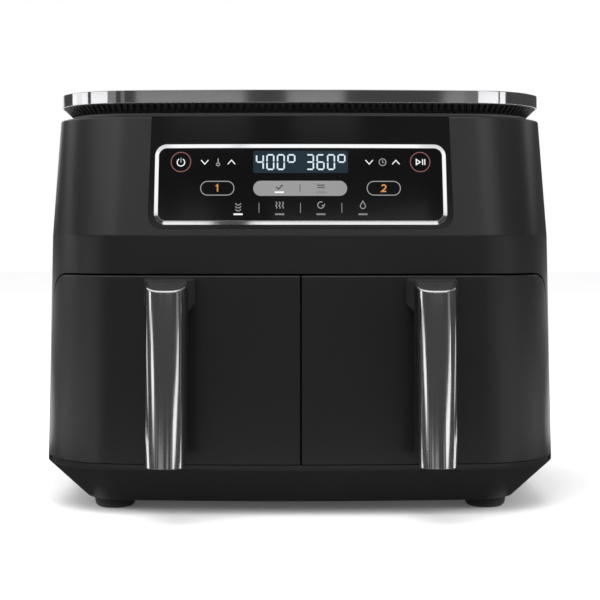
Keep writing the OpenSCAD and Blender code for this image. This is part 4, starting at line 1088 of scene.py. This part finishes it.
class FRYER_OT_handles(bpy.types.Operator):
    """Builds the bright covers and the dark cores of the two handles"""

    bl_idname = "fryer.handles"
    bl_label = "Handles"

    def execute(self, context):
        rim, foot = context.scene.fryer_sizes.rim * 1000, 0.4
        turn, steps = quarter(5), 8
        for side, sign in SIDES:
            # The cover from its foot's small round edge up to its rounded rim
            rows = [
                grip_row(cover_plan(foot - foot * math.sin(a)), 0, foot * math.cos(a) - foot) for a in turn
            ]
            rows += [grip_row(cover_plan(0), i / steps) for i in range(1, steps)]
            rows += [grip_row(cover_plan(rim - rim * math.cos(a)), 1, rim - rim * math.sin(a)) for a in turn]
            cover = loft(rows)
            half = HANDLE_W / 2 - CORE_INSET
            core_plan = [Vector((-half, CORE_BACK)), *grip_plan(CORE_INSET), Vector((half, CORE_BACK))]
            core = soften(loft([grip_row(core_plan, i / steps) for i in range(steps + 1)]), 0.3)
            # The neck widens smoothly from the grip to the drawer
            narrow = HANDLE_W / 2 - 1.8
            rows = []
            for i in range(steps + 1):
                s = i / steps
                ease = s * s * (3 - 2 * s)
                half = narrow + (NECK_W / 2 - narrow) * ease
                y = NECK_FRONT_Y + (NECK_REAR_Y - NECK_FRONT_Y) * s
                top, low = NECK_TOP + NECK_TOP_RISE * ease, NECK_LOW + NECK_LOW_RISE * ease
                rows.append([
                    Vector((HANDLE_X + p.x, y, (top + low) / 2 + p.y))
                    for p in round_frame(2 * half, top - low, 2.2, 0, steps=4)
                ])
            core = joined(core, loft(rows))

            def on_top(u, v):
                """A place on the sloped top of this side's grip, before it is mirrored."""
                return Vector((HANDLE_X + u * sign, GRIP_Y0 + GRIP_LEAN + v, GRIP_Z1 + v * GRIP_FALL))

            # The zone's number on the grip's top
            shape = [(-1.1, -8.6), (0.2, -7.6), (0.2, -13.0)]
            if side == "right":
                shape = [*arc(0, -9.4, 1.6, 160, -35, 12), (-1.5, -12.8), (1.7, -12.8)]
            marks = []
            for start, end in zip(shape, shape[1:]):
                a, b = Vector(start), Vector(end)
                d = (b - a).normalized()
                n = Vector((-d.y, d.x)) * 0.45
                low = [on_top(*q) - Vector((0, 0, 0.2)) for q in (a + n, a - n, b - n, b + n)]
                marks.append(loft([low, [q + Vector((0, 0, 0.26)) for q in low]]))
            number = joined(*marks)
            if sign < 0:
                for part in (cover, core, number):
                    mirrored(part)
            body = f"{side}_drawer"
            piece(
                f"{side}_handle_shell", cover, body, "chromium_plated",
                [f"{side}_handle_cover"],
            )
            piece(
                f"{side}_handle_body", core, body, "abs_moulded_grey",
                [f"{side}_handle_core"],
            )
            piece(f"{side}_handle_number", number, body, "abs_moulded_black")
        return {"FINISHED"}


# ---- Pieces that keep the solids of the frame ----


def both(*names):
    """The nodes of the left and of the right side."""
    return [f"{side}_{name}" for name in names for side, _ in SIDES]


KEPT = {
    "abs_moulded_black": ["rear_cover", "front_frame", "cord_gland", *both("cooling_fan")],
    "pp_moulded_matt": both("drawer_backing"),
    "glass_epoxy_masked": ["display_board", "power_board"],
    "pbt_moulded_ivory": ["board_tray", *both("reed_switch")],
    "zinc_plated_steel": ["housing_screws", "base_screws", *both("shaft", "probe", "handle_screws")],
    "aluminised_steel_rolled": ["centre_partition", *both("liner", "heater_guard", "motor_bracket")],
    "heater_alloy_oxidised": both("heater"),
    "aluminium_stamped": both("fan"),
    "electrical_steel_laminated": both("motor"),
    "ferrite_sintered": both("magnet"),
    "nonstick_sprayed": both("basket", "crisper_plate"),
    "silicone_moulded": both("plate_bumpers"),
}


class FRYER_OT_inner_parts(bpy.types.Operator):
    """Gives the parts that keep their solids their finishes"""

    bl_idname = "fryer.inner_parts"
    bl_label = "Inner parts"

    def execute(self, context):
        for finish, names in KEPT.items():
            for name in names:
                for material_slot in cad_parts[name].material_slots:
                    material_slot.material = FINISHES[finish]
        return {"FINISHED"}


# ---- Studio ----

# The light tent is what bright trim and gloss plastic mirror. It is a dome of cards that only reflections
# see, each nearer than the one before. A card has a name, a radiance and patches of (azimuth, azimuth,
# height, height) in degrees, with azimuth 0 ahead of the object.
TENT_MIDDLE, TENT_RADIUS, TENT_STEP = Vector((0, 0, 0.2)), 14.0, 0.4
TENT = (
    # Dim walls, which keep upright faces dark
    ("tent_side", 0.09, [
        (-110, 110, 3.5, 28), (-180, 180, -4, 3.5), (110, 180, 3.5, 13), (-150, -110, 3.5, 13),
    ]),
    # The soft light overhead, which lifts the sloped front and the lid
    ("tent_slope", 1.36, [(-150, 150, 28, 72)]),
    ("tent_zenith", 1.6, [(-180, 180, 72, 90)]),
    # A dark opening with two soft strips, which the gloss fascia shows
    ("tent_hole", 0.05, [(-30, 30, 34, 44)]),
    ("tent_low_strip", 0.6, [(-14, -10, 31, 35.2), (-3, 16, 31, 35.2)]),
    ("tent_high_strip", 0.4, [(-16, -6, 38.2, 42), (0, 8, 38.2, 42)]),
    # Greys that draw the soft lines of the handles and the band
    ("tent_front_grey", 0.4, [
        (-18, -5.5, 2, 6.3), (-1, 5.2, 2, 6.3), (16, 19, 3, 6.3), (-48, -36, 3.8, 6.3),
    ]),
    ("tent_front_line", 0.3, [
        (-29, -24, 3.8, 6.3), (19, 28, 3.8, 6.3), (48, 66, 6.3, 12), (81, 103, 6.5, 12.5), (55, 150, 26, 60),
    ]),
    # Whites that draw their bright lines and those of the bezel
    ("tent_white", 1.8, [
        (-117, -83, 3.8, 6.3), (-77, -49, 3.8, 6.3), (28, 59, 3.8, 6.3), (61.5, 71, 3.8, 6.3),
    ]),
    ("tent_frame", 1.8, [
        (-20, -10, 50, 66), (-8, 20, 50, 66), (-20, -9, 14.8, 17), (-5, 20, 14.8, 17), (-42, -30, 32, 42),
        (30, 42, 32, 42),
    ]),
    ("tent_line_white", 1.5, [(-106, -94, 3.5, 14)]),
)
# Dim sheets of the tent just over the paper, as corners in metres: a frame round the body's foot between
# two rectangles of (half width, front, rear), one sheet far ahead, and two more that both sides have
SHEET_LEVEL, SHEET_HEIGHT = 0.07, 0.0015
SHEET_FRAME = ((0.165, -0.08, 0.135), (0.7, -0.31, 0.3))
SHEET_AHEAD = ((-0.5, -0.5), (-TENT_RADIUS, -TENT_RADIUS), (TENT_RADIUS, -TENT_RADIUS), (0.5, -0.5))
SHEETS_BESIDE = (
    ((2.4, -2.4), (TENT_RADIUS, -TENT_RADIUS), (TENT_RADIUS, 1), (2.4, 1)),
    ((0.75, 0.35), (2.4, 0.35), (2.4, 2.6), (1.3, 2.6)),
)
# Lamps: name, place, aim and size in metres, and power in watts
SOFTBOXES = (
    ("key_softbox", (-0.5, -1.6, 2.6), (0, 0, 0.15), (2.4, 1.4), 60),
    ("left_softbox", (-2.0, -0.5, 0.7), (0, 0, 0.2), (0.7, 1.3), 14),
    ("right_softbox", (2.0, -0.5, 0.7), (0, 0, 0.2), (0.7, 1.3), 14),
)
FLOOR_HALF = 8.0
CAMERA_PLACE, CAMERA_DOWN, CAMERA_TURN = (-0.01, -1.3114, 0.21), 2.29, -0.448  # metres and degrees
CAMERA_LENS, CAMERA_SENSOR = 96.72, 36.0


def unseen(name, bm, level):
    """A glowing card that only reflections see."""
    tree = blank(name)
    glow = add(tree, "ShaderNodeEmission", {"Color": WHITE, "Strength": level})
    add(tree, "ShaderNodeOutputMaterial", None, {"Surface": glow.outputs[0]})
    o = placed(name, as_mesh(name, bm))
    o.data.materials.append(FINISHES[name])
    o.visible_camera = o.visible_diffuse = o.visible_shadow = o.visible_transmission = False


def tent_card(name, level, radius, patches):
    """A card of the light tent, from its patches."""
    bm = bmesh.new()
    for a0, a1, e0, e1 in patches:
        n, m = math.ceil((a1 - a0) / 5), math.ceil((e1 - e0) / 10)
        grid = []
        for i in range(n + 1):
            a = math.radians(a0 + (a1 - a0) * i / n)
            column = []
            for j in range(m + 1):
                e = math.radians(e0 + (e1 - e0) * j / m)
                way = Vector((math.sin(a) * math.cos(e), -math.cos(a) * math.cos(e), math.sin(e)))
                column.append(bm.verts.new(TENT_MIDDLE + way * radius))
            grid.append(column)
        for one, two in zip(grid, grid[1:]):
            for j in range(m):
                bm.faces.new((one[j], two[j], two[j + 1], one[j + 1]))
    unseen(name, bm, level)


def tent_floor():
    """The dim sheets of the light tent, which lie just over the paper."""
    inner, outer = [[(-x, front), (x, front), (x, rear), (-x, rear)] for x, front, rear in SHEET_FRAME]
    sheets = [(inner[i], inner[i - 1], outer[i - 1], outer[i]) for i in range(4)]
    sheets.append(SHEET_AHEAD)
    for sign in (-1, 1):
        sheets += [[(sign * x, y) for x, y in sheet] for sheet in SHEETS_BESIDE]
    bm = bmesh.new()
    for sheet in sheets:
        bm.faces.new([bm.verts.new((x, y, SHEET_HEIGHT)) for x, y in sheet])
    unseen("tent_floor", bm, SHEET_LEVEL)


def softbox(name, place, aim, size, power):
    """A soft lamp, which reflections don't see."""
    lamp = bpy.data.lights.new(name, "AREA")
    lamp.shape = "RECTANGLE"
    lamp.size, lamp.size_y = size
    lamp.energy = power
    o = placed(name, lamp)
    o.location = place
    o.rotation_euler = (Vector(aim) - Vector(place)).to_track_quat("-Z", "Y").to_euler()
    o.visible_glossy = False


class FRYER_OT_studio(bpy.types.Operator):
    """Builds the floor, the soft light, the cards and the camera"""

    bl_idname = "fryer.studio"
    bl_label = "Studio"

    def execute(self, context):
        scene = context.scene
        # Matt white paper, a little brighter to the camera, to mirrors and through glass; its tone drifts
        # over about 330 mm
        tree = blank("paper_white_matt")
        path = add(tree, "ShaderNodeLightPath")
        place = add(tree, "ShaderNodeTexCoord").outputs["Object"]
        fibre = add(tree, "ShaderNodeTexNoise", {"Scale": 3.0}, {"Vector": place})
        shade = add(
            tree, "ShaderNodeMix", {"data_type": "RGBA", 6: colour("#f1f1f1"), 7: colour("#f4f4f4")},
            {0: fibre.outputs["Fac"]},
        )
        paper = add(tree, "ShaderNodeBsdfDiffuse", None, {"Color": shade.outputs[2]})
        seen = add(
            tree, "ShaderNodeMath", {"operation": "MAXIMUM"},
            {0: path.outputs["Is Camera Ray"], 1: path.outputs["Is Glossy Ray"]},
        )
        seen = add(
            tree, "ShaderNodeMath", {"operation": "MAXIMUM"},
            {0: seen.outputs[0], 1: path.outputs["Is Transmission Ray"]},
        )
        lift = add(tree, "ShaderNodeMath", {"operation": "MULTIPLY", 1: 0.06}, {0: seen.outputs[0]})
        glow = add(tree, "ShaderNodeEmission", {"Color": WHITE}, {"Strength": lift.outputs[0]})
        both_lights = add(tree, "ShaderNodeAddShader", None, {0: paper.outputs[0], 1: glow.outputs[0]})
        add(tree, "ShaderNodeOutputMaterial", None, {"Surface": both_lights.outputs[0]})
        bm, f = bmesh.new(), FLOOR_HALF
        bm.faces.new([bm.verts.new((x, y, 0)) for x, y in ((-f, -f), (f, -f), (f, f), (-f, f))])
        floor = placed("floor", as_mesh("floor", bm))
        floor.data.materials.append(FINISHES["paper_white_matt"])
        for i, (name, level, patches) in enumerate(TENT):
            tent_card(name, level, TENT_RADIUS - TENT_STEP * i, patches)
        tent_floor()
        for lamp in SOFTBOXES:
            softbox(*lamp)
        world = bpy.data.worlds.new("studio")
        world.use_nodes = True
        tree = world.node_tree
        tree.nodes.clear()
        sky = add(tree, "ShaderNodeBackground", {"Color": WHITE, "Strength": 1.0})
        add(tree, "ShaderNodeOutputWorld", None, {"Surface": sky.outputs[0]})
        scene.world = world
        camera = bpy.data.cameras.new("camera")
        camera.lens, camera.sensor_width = CAMERA_LENS, CAMERA_SENSOR
        scene.camera = placed("camera", camera)
        scene.camera.location = CAMERA_PLACE
        scene.camera.rotation_euler = (math.radians(90 - CAMERA_DOWN), 0, math.radians(CAMERA_TURN))
        scene.view_settings.view_transform = "Standard"
        return {"FINISHED"}


class FRYER_PT_panel(bpy.types.Panel):
    """Lists the sizes, the colours and the steps of the air fryer"""

    bl_label = "Air fryer"
    bl_idname = "FRYER_PT_panel"
    bl_space_type = "VIEW_3D"
    bl_region_type = "UI"
    bl_category = "Air fryer"

    def draw(self, context):
        for group in (context.scene.fryer_sizes, context.scene.fryer_colours):
            for name in group.__annotations__:
                self.layout.prop(group, name)
        for step in STEPS:
            self.layout.operator(step.bl_idname)


STEPS = (
    FRYER_OT_finishes, FRYER_OT_studio, FRYER_OT_housing, FRYER_OT_base, FRYER_OT_feet, FRYER_OT_grille,
    FRYER_OT_band, FRYER_OT_lid, FRYER_OT_fascia, FRYER_OT_frame, FRYER_OT_glass, FRYER_OT_marks,
    FRYER_OT_drawer_fronts, FRYER_OT_handles, FRYER_OT_inner_parts,
)
CLASSES = (FryerSizes, FryerColours, *STEPS, FRYER_PT_panel)


def register():
    for kind in CLASSES:
        bpy.utils.register_class(kind)
    bpy.types.Scene.fryer_sizes = bpy.props.PointerProperty(type=FryerSizes)
    bpy.types.Scene.fryer_colours = bpy.props.PointerProperty(type=FryerColours)


def unregister():
    del bpy.types.Scene.fryer_colours
    del bpy.types.Scene.fryer_sizes
    for kind in reversed(CLASSES):
        bpy.utils.unregister_class(kind)


def main():
    register()
    for step in STEPS:
        group, name = step.bl_idname.split(".")
        getattr(getattr(bpy.ops, group), name)()


if __name__ == "__main__":
    main()
